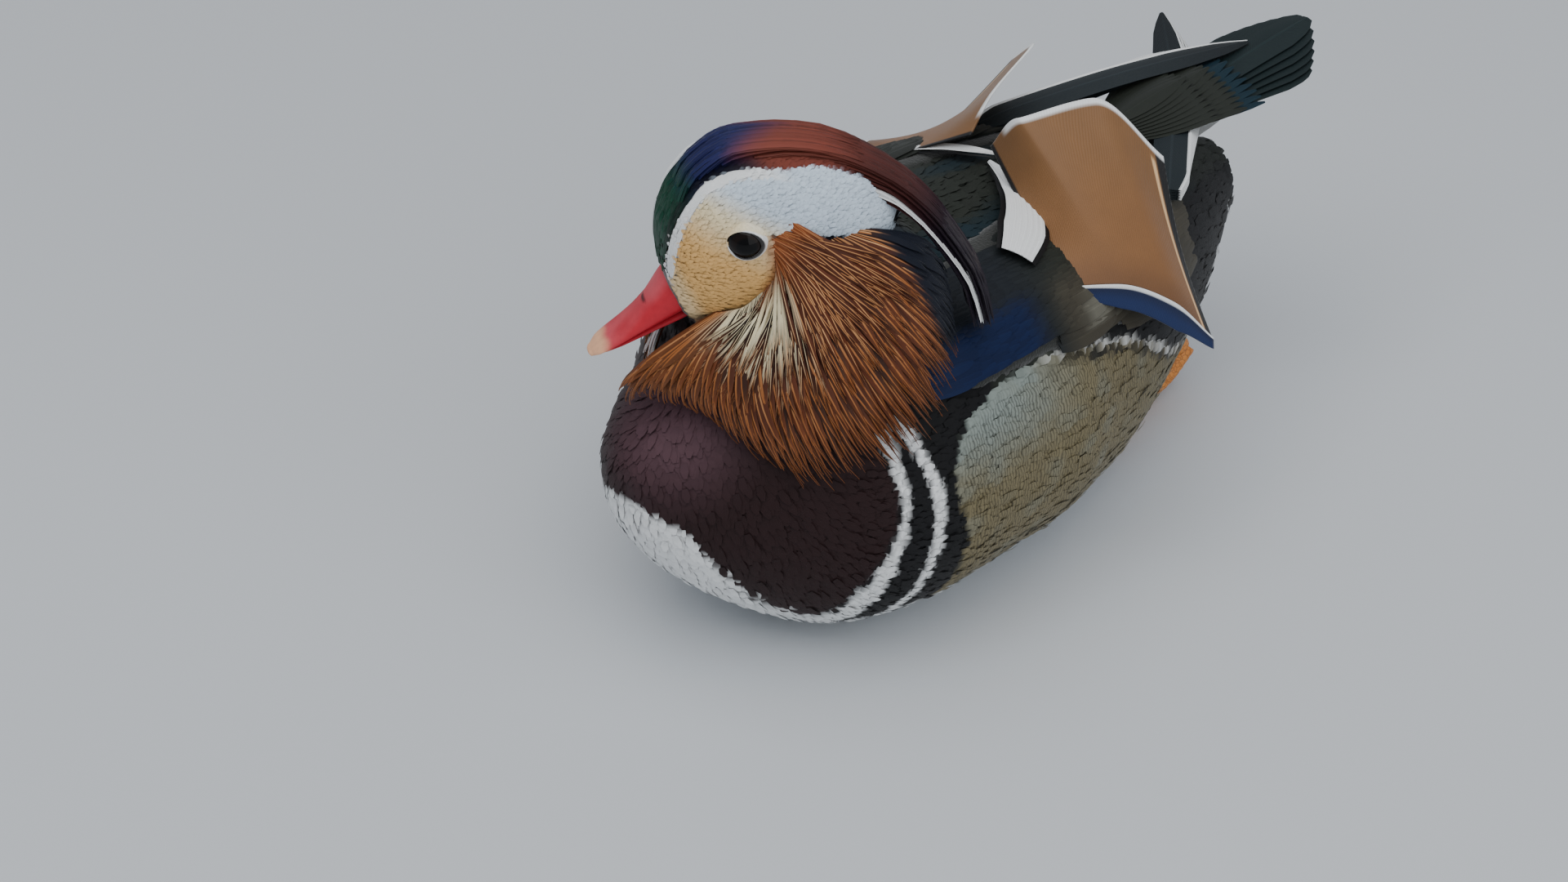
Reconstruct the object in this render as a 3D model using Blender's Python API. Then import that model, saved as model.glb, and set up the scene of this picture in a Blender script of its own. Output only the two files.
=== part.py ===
"""Mandarin duck drake, life size, sitting as it floats, belly down and head turned to its right.

The bird faces -Y, its left side is +X and the floor is z = 0, with the origin at the middle of the flat
on its belly. Lengths below are in millimetres and angles in degrees; solid() turns them into metres.
"""
import math

import bmesh
import bpy
import numpy as np

# Driving dimensions
MM = 0.001
GAP = 0.3
CLEAR = 0.36
VANE_THICK = 0.6
SEED = 7

# Torso: place along the body, middle line, half width, top, widest level and bottom. The flat of the
# belly is where the bottom reaches the floor. The waterline of the swimming bird is 30 mm up. The breast
# swells to the left, away from the turned head.
TORSO = (
    (-148, 0.5, 10, 70, 58, 46),
    (-144, 0.5, 17, 75, 56, 38),
    (-137, 1.5, 24.5, 81, 54, 28),
    (-128, 3.5, 32.5, 88, 53, 19),
    (-118, 5.5, 40, 94, 52, 11),
    (-106, 5.5, 50, 100, 51, 4),
    (-92, 4, 57, 104, 50, 0),
    (-70, 1.5, 62.5, 106, 50, -2),
    (-35, 0, 62, 105.5, 50, -2),
    (-8, 0, 55, 103, 50, -1.2),
    (5, 0, 51, 101, 50.5, -0.2),
    (15, 0, 47.5, 99.5, 51, 4.5),
    (30, 0, 41, 97, 52, 11),
    (58, 0, 27, 88, 54, 27),
    (80, 0, 14, 78, 60, 46),
)
BREAST_TIP = (0, -150, 58)
RUMP_TIP = (0, 88, 66)
TORSO_SIDES = 28
TORSO_ROUNDNESS = 2.15

# Neck: a chain of rings between the shoulders and the skull.
NECK = (
    ((2, -77, 74), 36, 44),
    ((3, -89, 92), 33, 38),
    ((6, -99, 108), 26, 29),
    ((10, -105, 122), 19.5, 21),
    ((13, -108, 134), 15, 16),
)

# Head: its own frame starts at the base of the culmen and runs back, left and up.
HEAD_BASE = (-4, -132, 122.5)
HEAD_TURN = 33.0
HEAD_DIP = 25.0
HEAD = (
    (0, 8.0, 0.5, -16.0),
    (4, 10.5, 11.0, -17.5),
    (9, 13.5, 19.0, -19.0),
    (16, 16.2, 24.8, -20.5),
    (25, 18.0, 28.0, -22.0),
    (36, 18.5, 27.5, -24.0),
    (48, 17.5, 22.5, -25.0),
    (58, 14.0, 14.5, -22.0),
    (65, 8.0, 2.5, -15.0),
)
SKULL_TIP = (68, 0, -7)
HEAD_SIDES = 22
HEAD_ROUNDNESS = 2.2
HEAD_LEVEL = 0.45

# Bill: forward of the culmen base, half width, top and bottom.
BILL_UPPER = (
    (GAP, 7.0, 0.0, -11.0),
    (6, 6.6, -4.0, -11.2),
    (12, 6.2, -7.2, -11.4),
    (19, 6.0, -9.6, -11.8),
    (25, 4.9, -11.0, -12.6),
    (27.6, 2.9, -12.0, -13.4),
)
BILL_LOWER = (
    (GAP, 5.4, -11.6, -14.4),
    (8, 5.0, -11.9, -14.3),
    (18, 4.6, -12.4, -14.2),
    (23.5, 3.2, -13.2, -14.4),
)
BILL_TIP = 28.6
LOWER_TIP = 25.0
BILL_SIDES = 16
BILL_ROUNDNESS = 2.3
BILL_LEVEL = 0.3
NOSTRIL = (9.0, 5.6, -5.4)
NOSTRIL_LONG = 1.9
NOSTRIL_HIGH = 0.55

# Eyes: radius of the ball and of its opening, place (back, up) and how far they look forward and up.
EYE_BALL = 6.2
EYE_OPENING = 5.3
EYE_PLACE = (27, 7)
EYE_FORWARD = 0.16
EYE_UPWARD = 0.10
EYE_RINGS = 8
EYE_SIDES = 14
LID_THICK = 0.9
LID_WIDER = 0.7
LID_LOWER = 0.1

# Crest: the outline of its back edge in the head's middle plane, from the forehead to the tip, then the
# layers of locks as count, start and end along that outline, and lift.
CREST_EDGE = ((10, 22.5), (21, 30.5), (32, 32.0), (44, 28.0), (56, 20.0), (66, 8.0), (73.5, -6), (77.5, -22),
              (79, -40), (75.5, -59.5))
CREST_TIP_LEFT = 5.0
CREST_HALF_WIDTH = 9.5
CREST_LANES = 0.86
CREST_CORE_START = 0.05
CREST_CORE_REACH = 0.55
CREST_CORE_DEPTH = (5.5, 2.5)
CREST_TAPER = 0.5
CREST_TAPER_START = 0.45
CREST_LAYERS = ((4, 0.08, 0.80, -0.1), (4, 0.36, 1.0, -1.3))
CREST_LOCK_THICK = 0.8
CREST_LOCK_WIDTHS = (0.7, 0.94, 0.94, 0.9, 0.4)

# Ruff: hackles from an arc on the cheek (back, up) to an arc of tips over breast and shoulder
# (place, turn on the torso, lift), both from the front to the back. The head's turn stretches the
# left half forward and folds the right half back.
RUFF_ROOTS = ((8, -12), (15, -12.5), (24, -9), (34, -4), (44, -1), (53, -5))
RUFF_TIPS_LEFT = ((-140, 112, 5), (-133, 74, 4), (-126, 38, 3), (-116, 20, 3), (-100, 23, 3.5), (-85, 30, 5),
                  (-73, 44, 7), (-66, 60, 12))
RUFF_TIPS_RIGHT = ((-136, 98, 3), (-131, 114, 2.5), (-124, 128, 2.5), (-114, 138, 2.5), (-102, 138, 3),
                   (-90, 130, 5), (-80, 118, 8), (-74, 106, 12))
RUFF_BULGE_LEFT = 9.0
RUFF_BULGE_RIGHT = 5.0
RUFF_PAD_REACH = 0.42
RUFF_TIERS = ((12, 1.0), (9, 0.8))
RUFF_STEPS = 25
RUFF_INSIDE = (40, 0, -30)
RUFF_ROOT_SINK = 0.93
HACKLE_WIDTHS = (2.4, 5.0, 6.8, 5.2, 0.9)
HACKLE_RISE = (0, 0.9, 1, 0.9, 0.8)
HACKLE_TILT = 0.24
HACKLE_THICK = 0.7

# Sail: the broad inner vane of the last tertial, standing up from the folded wing.
SAIL_SHAFT = ((44, -24, 92), (52, -9, 90), (59, 6, 81), (64, 19, 65))
SAIL_TOP = ((5, -14, 117), (13, -12, 129), (22, 9, 131), (37, 24, 112))
SAIL_TOP_RIGHT = ((9, -8, 112), (12, 4, 120), (16, 24, 126), (34, 36, 110))
SAIL_REAR_BULGE_LEFT = -2.0
SAIL_REAR_BULGE_RIGHT = -6.0
SAIL_BULGE_LEFT = 4.0
SAIL_BULGE_RIGHT = -4.5
SAIL_THICK = 0.8
SAIL_OUTWARD = (0.77, -0.2, 0.6)
SAIL_REARWARD = (2, 5, 1)
SAIL_STRIP_HANG = (1.5, 0, -8.0)
SAIL_STRIP_AWAY = (0.95, 0, 0.25)
SAIL_QUILL_TURN = ((-6, -9, -2), (-9, -16, -6))
SAIL_QUILL_RADII = (0.9, 1.3, 1.7, 2.2, 2.4)

# Folded wing: place along the torso, lower and upper turn; then its tiers of vanes as root place,
# length, lower and upper turn of the roots, count, width and lift.
WING_EDGES = ((-82, 42, 56), (-63, 33, 66), (-40, 32, 72), (-15, 28, 74), (10, 20, 72), (44, 16, 62))
WING_TIERS = ((-66, 40, 40, 62, 4, 14, 6.0), (-38, 44, 38, 66, 4, 14, 6.4), (-2, 35, 30, 58, 4, 13, 5.2))
WING_REST = 0.55
WING_RIM = 0.8
WING_SWELL = 4.2
COVERT_WIDTHS = (0.85, 1.0, 0.95, 0.4)
COVERT_SINK = 2.6
COVERT_ROLL = 0.12
COVERT_THICK = 0.7

# Wing tips: base, middle and tip of the stack of primaries; the two stacks cross over the rump.
PRIMARIES_LEFT = ((25, 41, 95), (-3, 72, 97), (-34, 100, 100))
PRIMARIES_RIGHT = ((-26, 24, 99), (-14, 66, 101.5), (-3, 105, 101))
PRIMARY_VANES = 4
PRIMARY_STEP = 1.0
PRIMARY_SPREAD = 2.0
PRIMARY_SHORTER = 0.16
PRIMARY_WIDTHS = (8, 12, 12, 9.5, 2.5)

# Tail: vanes on each side, the step between two of them, where they spring from, and the body under
# their roots. The coverts over and under them start a little before and behind that root.
TAIL_VANES = 6
TAIL_STEP = 1.0
TAIL_ROOT = (0, 62, 95)
TAIL_LENGTH = 65.5
TAIL_SHORTER = 0.035
TAIL_FAN = 17.0
TAIL_RISE = 7.5
TAIL_SAG = 1.2
TAIL_WIDTHS = (9, 12, 13, 6)
TAIL_THICK = 0.5
TAIL_CORE = ((0, 54, 86), (0, 72, 86), (0, 94, 90))
TAIL_CORE_RADII = (8, 10.5, 10.5, 9, 6.5, 3.5)
COVERTS = 5
COVERT_ANGLE = 9
COVERT_RISE = 0.7
OVER_COVERT = ((0, -6, 2.6), 30, (7, 9, 3))
UNDER_COVERT = ((0, 2, -12.5), 34, (8, 10, 3))
UNDER_COVERT_RISE = 1.8

# Left leg and foot, laid under the rear of the belly.
FOOT_JOINT = (11, 47, 2.6)
TOE_ENDS = ((7, 21, 1.0), (15, 16, 1.0), (22, 22, 1.0))
HIND_TOE = ((9.5, 52, 1.6), (8, 56, 0.9))
THIGH = ((8.5, 50, 33), (10.5, 58, 25), (12, 64.5, 16))
SHANK = ((12.2, 67, 15.5), (12, 59, 8.0), (11.5, 49.5, 3.9))
THIGH_RADII = (5.5, 4.6, 3.3)
SHANK_RADII = (3.1, 2.7, 2.5)
TOE_RADII = (2.8, 2.3, 2.0, 1.2)
HIND_TOE_RADII = (2.2, 1.7, 1.0)
WEB_HEIGHT = 1.2
WEB_HALF_THICK = 0.45
WEB_SCALLOP = 4


def smooth_rows(rows, at):
    """Values of a table at the places in its first column, by a cubic curve that never overshoots."""
    table = np.array(rows, float)
    place, value = table[:, 0], table[:, 1:]
    step = np.diff(place)[:, None]
    rise = np.diff(value, axis=0) / step
    slope = np.zeros_like(value)
    product = rise[:-1] * rise[1:]
    total = rise[:-1] + rise[1:]
    slope[1:-1] = np.where(product > 0, 2 * product / np.where(total == 0, 1, total), 0)
    slope[0], slope[-1] = rise[0], rise[-1]
    at = np.asarray(at, float)
    cell = np.clip(np.searchsorted(place, at) - 1, 0, len(place) - 2)
    t = ((at - place[cell]) / step[cell, 0])[:, None]
    run = step[cell]
    return (value[cell] * (1 + 2 * t) * (1 - t) ** 2 + slope[cell] * run * t * (1 - t) ** 2
            + value[cell + 1] * (3 - 2 * t) * t ** 2 + slope[cell + 1] * run * (t - 1) * t ** 2)


def path(points, count):
    """A smooth curve through a few points, read at evenly spaced steps."""
    points = np.array(points, float)
    steps = np.arange(len(points))[:, None]
    return smooth_rows(np.hstack([steps, points]), np.linspace(0, len(points) - 1, count))


def unit(vectors):
    """The same vectors at length 1."""
    vectors = np.asarray(vectors, float)
    return vectors / np.maximum(np.linalg.norm(vectors, axis=-1, keepdims=True), 1e-9)


def blend(start, end, t):
    """A straight mix of two values, t from 0 to 1."""
    return start + (end - start) * t


def solid(name, points, triangles):
    """A closed mesh object from millimetre points, its faces turned outwards."""
    mesh = bpy.data.meshes.new(name)
    mesh.from_pydata((np.asarray(points) * MM).tolist(), [], [tuple(face) for face in triangles])
    body = bmesh.new()
    body.from_mesh(mesh)
    bmesh.ops.recalc_face_normals(body, faces=body.faces)
    body.to_mesh(mesh)
    body.free()
    thing = bpy.data.objects.new(name, mesh)
    bpy.context.scene.collection.objects.link(thing)
    return thing


def loft(name, rings, first, last):
    """A closed skin over rings of equal count, each end drawn together at a pole."""
    rings = np.asarray(rings, float)
    count, sides = rings.shape[:2]
    points = np.vstack([rings.reshape(-1, 3), [first], [last]])
    triangles = []
    for ring in range(count - 1):
        for side in range(sides):
            a = ring * sides + side
            b = ring * sides + (side + 1) % sides
            triangles += [(a, b, b + sides), (a, b + sides, a + sides)]
    end = (count - 1) * sides
    for side in range(sides):
        following = (side + 1) % sides
        triangles.append((count * sides, following, side))
        triangles.append((count * sides + 1, end + side, end + following))
    return solid(name, points, triangles)


def slab(name, upper, lower):
    """A thin closed body between two grids of points, split into triangles alike on both faces."""
    upper = np.asarray(upper, float)
    rows, columns = upper.shape[:2]
    points = np.vstack([upper.reshape(-1, 3), np.asarray(lower, float).reshape(-1, 3)])
    below = rows * columns
    triangles = []
    for row in range(rows - 1):
        for column in range(columns - 1):
            a = row * columns + column
            b, c, d = a + columns, a + columns + 1, a + 1
            triangles += [(a, b, c), (a, c, d)]
            triangles += [(a + below, c + below, b + below), (a + below, d + below, c + below)]
    rim = [column for column in range(columns)]
    rim += [row * columns + columns - 1 for row in range(1, rows)]
    rim += [(rows - 1) * columns + column for column in range(columns - 2, -1, -1)]
    rim += [row * columns for row in range(rows - 2, 0, -1)]
    for a, b in zip(rim, rim[1:] + rim[:1]):
        triangles += [(a, b, b + below), (a, b + below, a + below)]
    return solid(name, points, triangles)


def vane(spine, widths, face, thick=VANE_THICK, camber=0.0, tip=0.35):
    """A flat tapered vane along a spine; face is the way its upper side looks, camber lifts its middle."""
    spine = np.asarray(spine, float)
    along = unit(np.gradient(spine, axis=0))
    across = unit(np.cross(along, np.broadcast_to(face, spine.shape)))
    above = np.cross(across, along)
    half = np.asarray(widths, float)[:, None] / 2
    depth = (thick / 2 * np.linspace(1, tip, len(spine)))[:, None]
    edges = [spine - across * half, spine + across * half]
    if camber:
        edges.insert(1, spine + above * camber * half / half.max())
    grid = np.stack(edges, axis=1)
    lift = (above * depth)[:, None, :]
    return slab("vane", grid + lift, grid - lift)


def tube(name, points, radii, sides):
    """A round closed tube along a path, with rings square to it."""
    points = np.asarray(points, float)
    along = unit(np.gradient(points, axis=0))
    side = unit(np.cross(along, (0.31, 0.12, 0.94)))
    other = np.cross(along, side)
    turn = np.linspace(0, 2 * math.pi, sides, endpoint=False)
    rings = (points[:, None, :] + (side[:, None, :] * np.cos(turn)[None, :, None]
             + other[:, None, :] * np.sin(turn)[None, :, None]) * np.asarray(radii, float)[:, None, None])
    return loft(name, rings, points[0], points[-1])


def biggest_shell(mesh):
    """Keeps only the closed surface with the most volume, and tidies the needles a union leaves."""
    body = bmesh.new()
    body.from_mesh(mesh)
    bmesh.ops.remove_doubles(body, verts=body.verts, dist=0.002 * MM)
    bmesh.ops.dissolve_degenerate(body, edges=body.edges, dist=0.001 * MM)
    bmesh.ops.triangulate(body, faces=body.faces)
    shells = []
    unseen = set(body.faces)
    while unseen:
        shell, front = [], [unseen.pop()]
        while front:
            face = front.pop()
            shell.append(face)
            for edge in face.edges:
                for near in edge.link_faces:
                    if near in unseen:
                        unseen.remove(near)
                        front.append(near)
        shells.append(shell)
    volumes = [sum(f.calc_center_median().dot(f.normal) * f.calc_area() for f in shell) for shell in shells]
    keep = shells[int(np.argmax(volumes))]
    scraps = [face for shell in shells if shell is not keep for face in shell]
    bmesh.ops.delete(body, geom=scraps, context="FACES")
    body.to_mesh(mesh)
    body.free()


def combine(body, pieces, operation="UNION", solver="EXACT"):
    """Joins pieces to a body, or cuts them from it, in one applied Boolean on a collection."""
    if not pieces:
        return body
    group = bpy.data.collections.new("pieces")
    for piece in pieces:
        group.objects.link(piece)
    cut = body.modifiers.new("combine", "BOOLEAN")
    cut.operand_type = "COLLECTION"
    cut.collection = group
    cut.operation = operation
    cut.solver = solver
    bpy.context.view_layer.update()
    seen = body.evaluated_get(bpy.context.evaluated_depsgraph_get())
    mesh = bpy.data.meshes.new_from_object(seen)
    body.modifiers.clear()
    body.data = mesh
    biggest_shell(mesh)
    for piece in pieces:
        bpy.data.objects.remove(piece)
    bpy.data.collections.remove(group)
    return body


def swollen(body, by=CLEAR):
    """A copy of a body, each corner moved out by a clearance, to cut its neighbours clear of it."""
    mesh = body.data.copy()
    shape = bmesh.new()
    shape.from_mesh(mesh)
    shape.normal_update()
    moves = [vertex.normal * by * MM for vertex in shape.verts]
    for vertex, move in zip(shape.verts, moves):
        vertex.co += move
    shape.to_mesh(mesh)
    shape.free()
    copy = bpy.data.objects.new("swollen", mesh)
    bpy.context.scene.collection.objects.link(copy)
    return copy


def oval(turn, half_width, top, level, bottom, roundness):
    """A rounded section: across and up for each turn, 0 at the left, 90 at the top."""
    turn = np.radians(turn)
    power = 2 / roundness
    across = half_width * np.sign(np.cos(turn)) * np.abs(np.cos(turn)) ** power
    rise = np.where(np.sin(turn) > 0, top - level, level - bottom)
    return across, level + rise * np.sign(np.sin(turn)) * np.abs(np.sin(turn)) ** power


def torso_at(place, turn):
    """Points on the torso at a place along it and a turn about it."""
    place, turn = np.broadcast_arrays(np.asarray(place, float), np.asarray(turn, float))
    rows = smooth_rows(TORSO, place.ravel())
    across, up = oval(turn.ravel(), *rows.T[1:], TORSO_ROUNDNESS)
    points = np.stack([across + rows[:, 0], place.ravel(), np.maximum(up, 0)], axis=-1)
    return points.reshape(place.shape + (3,))


def over_torso(place, turn, lift):
    """Points a lift above the torso, with the way the torso faces there."""
    step = 0.5
    along = torso_at(np.add(place, step), turn) - torso_at(np.subtract(place, step), turn)
    round_it = torso_at(place, np.add(turn, step)) - torso_at(place, np.subtract(turn, step))
    facing = unit(np.cross(along, round_it))
    return torso_at(place, turn) + facing * np.asarray(lift, float)[..., None], facing


def head_axes():
    """The head's forward, left and up directions after its turn and dip."""
    turn, dip = math.radians(HEAD_TURN), math.radians(HEAD_DIP)
    level = np.array([-math.sin(turn), -math.cos(turn), 0.0])
    left = np.array([math.cos(turn), -math.sin(turn), 0.0])
    forward = level * math.cos(dip) - np.array([0, 0, math.sin(dip)])
    return forward, left, np.cross(forward, left)


def on_head(back, left, up):
    """World points from places behind, left of and above the base of the culmen."""
    forward, side, high = head_axes()
    back, left, up = (np.asarray(value, float)[..., None] for value in (back, left, up))
    return np.array(HEAD_BASE, float) - forward * back + side * left + high * up


def mirrored(points, side):
    """The same points on the bird's left (side 1) or right (side -1)."""
    return np.asarray(points, float) * (side, 1, 1)


def make_torso():
    """Breast, flanks, belly, back and rump."""
    places = np.concatenate([np.array([-148, -145, -141.0]), np.linspace(-136, 80, 21)])
    turn = np.arange(TORSO_SIDES) * 360 / TORSO_SIDES
    rings = torso_at(places[:, None], turn[None, :])
    return loft("torso", rings, BREAST_TIP, RUMP_TIP)


def make_neck_whole():
    """The short drawn-in neck, running on into torso and skull."""
    rows = np.array([(*centre, wide, deep) for centre, wide, deep in NECK], float)
    rows = path(rows, 9)
    centre = rows[:, :3]
    along = unit(np.gradient(centre, axis=0))
    side = unit(np.cross((0, -1, 0.2), along))
    front = np.cross(along, side)
    turn = np.radians(np.arange(20) * 18)
    rings = (centre[:, None] + side[:, None] * (rows[:, 3, None] * np.cos(turn))[..., None]
             + front[:, None] * (rows[:, 4, None] * np.sin(turn))[..., None])
    return loft("neck", rings, centre[0], centre[-1])


def make_head_whole():
    """Face, cheeks, crown and back of the skull, without eyes or bill."""
    places = np.array([0, 2, 4, 6.5, 9, 13, 18, 24, 30, 36, 42, 48, 54, 60, 65])
    rows = smooth_rows(HEAD, places)
    turn = np.arange(HEAD_SIDES) * 360 / HEAD_SIDES
    rings = []
    for back, (half, top, bottom) in zip(places, rows):
        level = blend(bottom, top, HEAD_LEVEL)
        across, up = oval(turn, half, top, level, bottom, HEAD_ROUNDNESS)
        rings.append(on_head(np.full_like(up, back), across, up))
    return loft("head", rings, on_head(0, 0, -8), on_head(*SKULL_TIP))


def eye_centre(side):
    """The middle of an eyeball, set in so that its opening lies at the face."""
    back, up = EYE_PLACE
    half = smooth_rows(HEAD, [back])[0][0]
    depth = math.sqrt(EYE_BALL ** 2 - EYE_OPENING ** 2)
    return on_head(back, side * (half - depth - GAP), up)


def eye_axes(side):
    """The way an eye looks, and two directions across it."""
    forward, left, up = head_axes()
    look = unit(left * side + forward * EYE_FORWARD + up * EYE_UPWARD)
    over = unit(up - look * np.dot(up, look))
    return look, over, np.cross(look, over)


def ball(name, centre, radius, look, over, ahead, rings, sides):
    """A sphere of flat faces whose pole looks one way."""
    fall = np.linspace(0, math.pi, rings + 2)[1:-1]
    turn = np.linspace(0, 2 * math.pi, sides, endpoint=False)
    points = (centre + radius * (np.cos(fall)[:, None, None] * look + np.sin(fall)[:, None, None]
              * (np.cos(turn)[None, :, None] * over + np.sin(turn)[None, :, None] * ahead)))
    return loft(name, points, centre + radius * look, centre - radius * look)


def lid_ring(side):
    """The two lids as one almond rim round the eye."""
    look, over, ahead = eye_axes(side)
    centre = eye_centre(side) + look * math.sqrt(EYE_BALL ** 2 - EYE_OPENING ** 2)
    turn = np.linspace(0, 2 * math.pi, 16, endpoint=False)
    wide, tall = EYE_OPENING + LID_WIDER, EYE_OPENING - LID_LOWER
    middle = centre + (np.cos(turn)[:, None] * ahead * wide + np.sin(turn)[:, None] * over * tall)
    outward = unit(middle - centre)
    section = np.linspace(0, 2 * math.pi, 5, endpoint=False)
    rings = (middle[:, None] + LID_THICK * (np.cos(section)[None, :, None] * outward[:, None]
             + np.sin(section)[None, :, None] * look))
    count, sides = rings.shape[:2]
    triangles = []
    for ring in range(count):
        for point in range(sides):
            a, b = ring * sides + point, ring * sides + (point + 1) % sides
            c, d = ((ring + 1) % count) * sides + (point + 1) % sides, ((ring + 1) % count) * sides + point
            triangles += [(a, b, c), (a, c, d)]
    return solid("lids", rings.reshape(-1, 3), triangles)


def make_bill(name, rows, tip, steps):
    """A mandible: flattened sections that run forward from the face to a rounded tip."""
    places = np.linspace(rows[0][0], rows[-1][0], steps)
    turn = np.arange(BILL_SIDES) * 360 / BILL_SIDES
    rings = []
    for ahead, (half, top, bottom) in zip(places, smooth_rows(rows, places)):
        across, up = oval(turn, half, top, blend(bottom, top, BILL_LEVEL), bottom, BILL_ROUNDNESS)
        rings.append(on_head(np.full_like(up, -ahead), across, up))
    low = (rows[-1][2] + rows[-1][3]) / 2
    base = (rows[0][2] + rows[0][3]) / 2
    return loft(name, rings, on_head(-rows[0][0], 0, base), on_head(-tip, 0, low))


def nostril(side):
    """A slit cut into the upper bill."""
    ahead, across, up = NOSTRIL
    middle = on_head(-ahead, side * across, up)
    forward, left, high = head_axes()
    return ball("nostril", middle, 1.0, left * side, high * NOSTRIL_HIGH, forward * NOSTRIL_LONG, 5, 8)


def crest_taper(part):
    """How much of its full width the crest keeps at a fraction of its length."""
    return 1 - CREST_TAPER * np.clip((part - CREST_TAPER_START) / (1 - CREST_TAPER_START), 0, 1)


def crest_curve(start, end, across, lift, count):
    """Points along the crest's outline between two fractions of it, off to one side and lifted."""
    last = len(CREST_EDGE) - 1
    rows = np.hstack([np.arange(last + 1)[:, None], np.array(CREST_EDGE, float)])
    part = np.linspace(start, end, count)
    place = smooth_rows(rows, part * last)
    ahead = smooth_rows(rows, np.minimum(part * last + 0.05, last))
    slope = unit(ahead - smooth_rows(rows, part * last - 0.05))
    outward = np.stack([-slope[:, 1], slope[:, 0]], axis=1)
    place = place + outward * np.broadcast_to(lift, (count,))[:, None]
    left = across * crest_taper(part) + CREST_TIP_LEFT * np.clip(part * 2 - 1, 0, 1)
    return on_head(place[:, 0], left, place[:, 1])


def crest_core():
    """The close base of the crest over the back of the crown, at most half way to the tips."""
    steps = 10
    depth = np.linspace(*CREST_CORE_DEPTH, steps)
    span = (CREST_CORE_START, CREST_CORE_REACH)
    upper, lower = [], []
    for part in (-1, -0.5, 0, 0.5, 1):
        across = CREST_HALF_WIDTH * part
        upper.append(crest_curve(*span, across, -1.4 - 2.2 * part ** 2, steps))
        lower.append(crest_curve(*span, across * 0.9, -1.6 - 2.4 * part ** 2 - depth, steps))
    return slab("crest", np.stack(upper, axis=1), np.stack(lower, axis=1))


def make_crest(skull):
    """Long crown feathers as flat locks that run back over the nape, cut clear of the skull."""
    locks = []
    for count, start, end, lift in CREST_LAYERS:
        for lane in range(count):
            across = 2 * CREST_HALF_WIDTH * CREST_LANES * ((lane + 0.5) / count - 0.5)
            rooted = start + 0.05 * (lane % 2)
            steps = np.linspace(rooted, end - 0.03 * (lane % 2), 5)
            low = -2.6 - 2.2 * (across / CREST_HALF_WIDTH) ** 2
            heights = blend(low, lift, np.array([0, 0.9, 1, 1, 1]))
            spine = crest_curve(steps[0], steps[-1], across, heights, 5)
            lane_width = 2 * CREST_HALF_WIDTH * CREST_LANES / count * crest_taper(steps)
            widths = lane_width * np.array(CREST_LOCK_WIDTHS)
            locks.append(vane(spine, widths, unit(spine - on_head(36, 0, -6)), CREST_LOCK_THICK))
    crest = combine(crest_core(), locks)
    return combine(crest, [swollen(skull)], "DIFFERENCE")


def ruff_line(side, part, count):
    """A hackle's path over the neck and the way outwards along it; part runs round the fan from the front."""
    back, up = path(RUFF_ROOTS, 101)[int(round(part * 100))]
    half = smooth_rows(HEAD, [back])[0][0]
    root = on_head(back, side * half * RUFF_ROOT_SINK, up)
    place, turn, lift = path(RUFF_TIPS_LEFT if side > 0 else RUFF_TIPS_RIGHT, 101)[int(round(part * 100))]
    tip, _ = over_torso(place, turn, lift)
    inside = on_head(*RUFF_INSIDE)
    middle = blend(root, tip, 0.5)
    middle = middle + unit(middle - inside) * (RUFF_BULGE_LEFT if side > 0 else RUFF_BULGE_RIGHT)
    spine = path([root, middle, tip], count)
    deep, _ = over_torso(place, turn, -40)
    outward = unit(spine - blend(inside, deep, np.linspace(0, 0.7, count)[:, None]))
    return spine, outward


def make_ruff(side, neighbours):
    """One half of the ruff: pointed hackles in tiers over a thin pad on the cheek."""
    name = "ruff_left" if side > 0 else "ruff_right"
    random = np.random.default_rng(SEED + side)
    last = RUFF_STEPS - 1
    steps = int(round(last * RUFF_PAD_REACH)) + 1
    rows = np.unique(np.linspace(0, steps - 1, 5).astype(int))
    fans = [ruff_line(side, part, RUFF_STEPS) for part in np.linspace(0 if side > 0 else 0.08, 1, 9)]
    high, low = (np.linspace(*ends, len(rows))[:, None] for ends in ((0.6, -0.8), (-4.0, -3.2)))
    above = [spine[rows] + outward[rows] * high for spine, outward in fans]
    below = [spine[rows] + outward[rows] * low for spine, outward in fans]
    pad = slab(name, np.stack(above), np.stack(below))
    hackles = []
    for tier, (count, reach) in enumerate(RUFF_TIERS):
        for column in range(count):
            part = blend(0 if side > 0 else 0.1, 1, (column + 0.5 + 0.2 * tier) / count)
            spine, outward = ruff_line(side, part, RUFF_STEPS)
            end = int(round(last * reach * random.uniform(0.95, 1.0)))
            pick = np.linspace(0, end, 5).astype(int)
            raised = blend(-1.4, 1.6 + 1.9 * tier, np.array(HACKLE_RISE))
            spine, outward = spine[pick] + outward[pick] * raised[:, None], outward[pick]
            widths = np.array(HACKLE_WIDTHS) * random.uniform(0.94, 1.06)
            along = unit(np.gradient(spine, axis=0))
            tilt = np.cross(outward, along) * HACKLE_TILT
            hackles.append(vane(spine, widths, outward + tilt, HACKLE_THICK))
    ruff = combine(pad, hackles)
    return combine(ruff, [swollen(neighbour) for neighbour in neighbours], "DIFFERENCE")


def wing_edges(place):
    """The lower and upper turn of the folded wing at a place along the torso."""
    rows = smooth_rows(WING_EDGES, place)
    return rows[:, 0], rows[:, 1]


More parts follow.
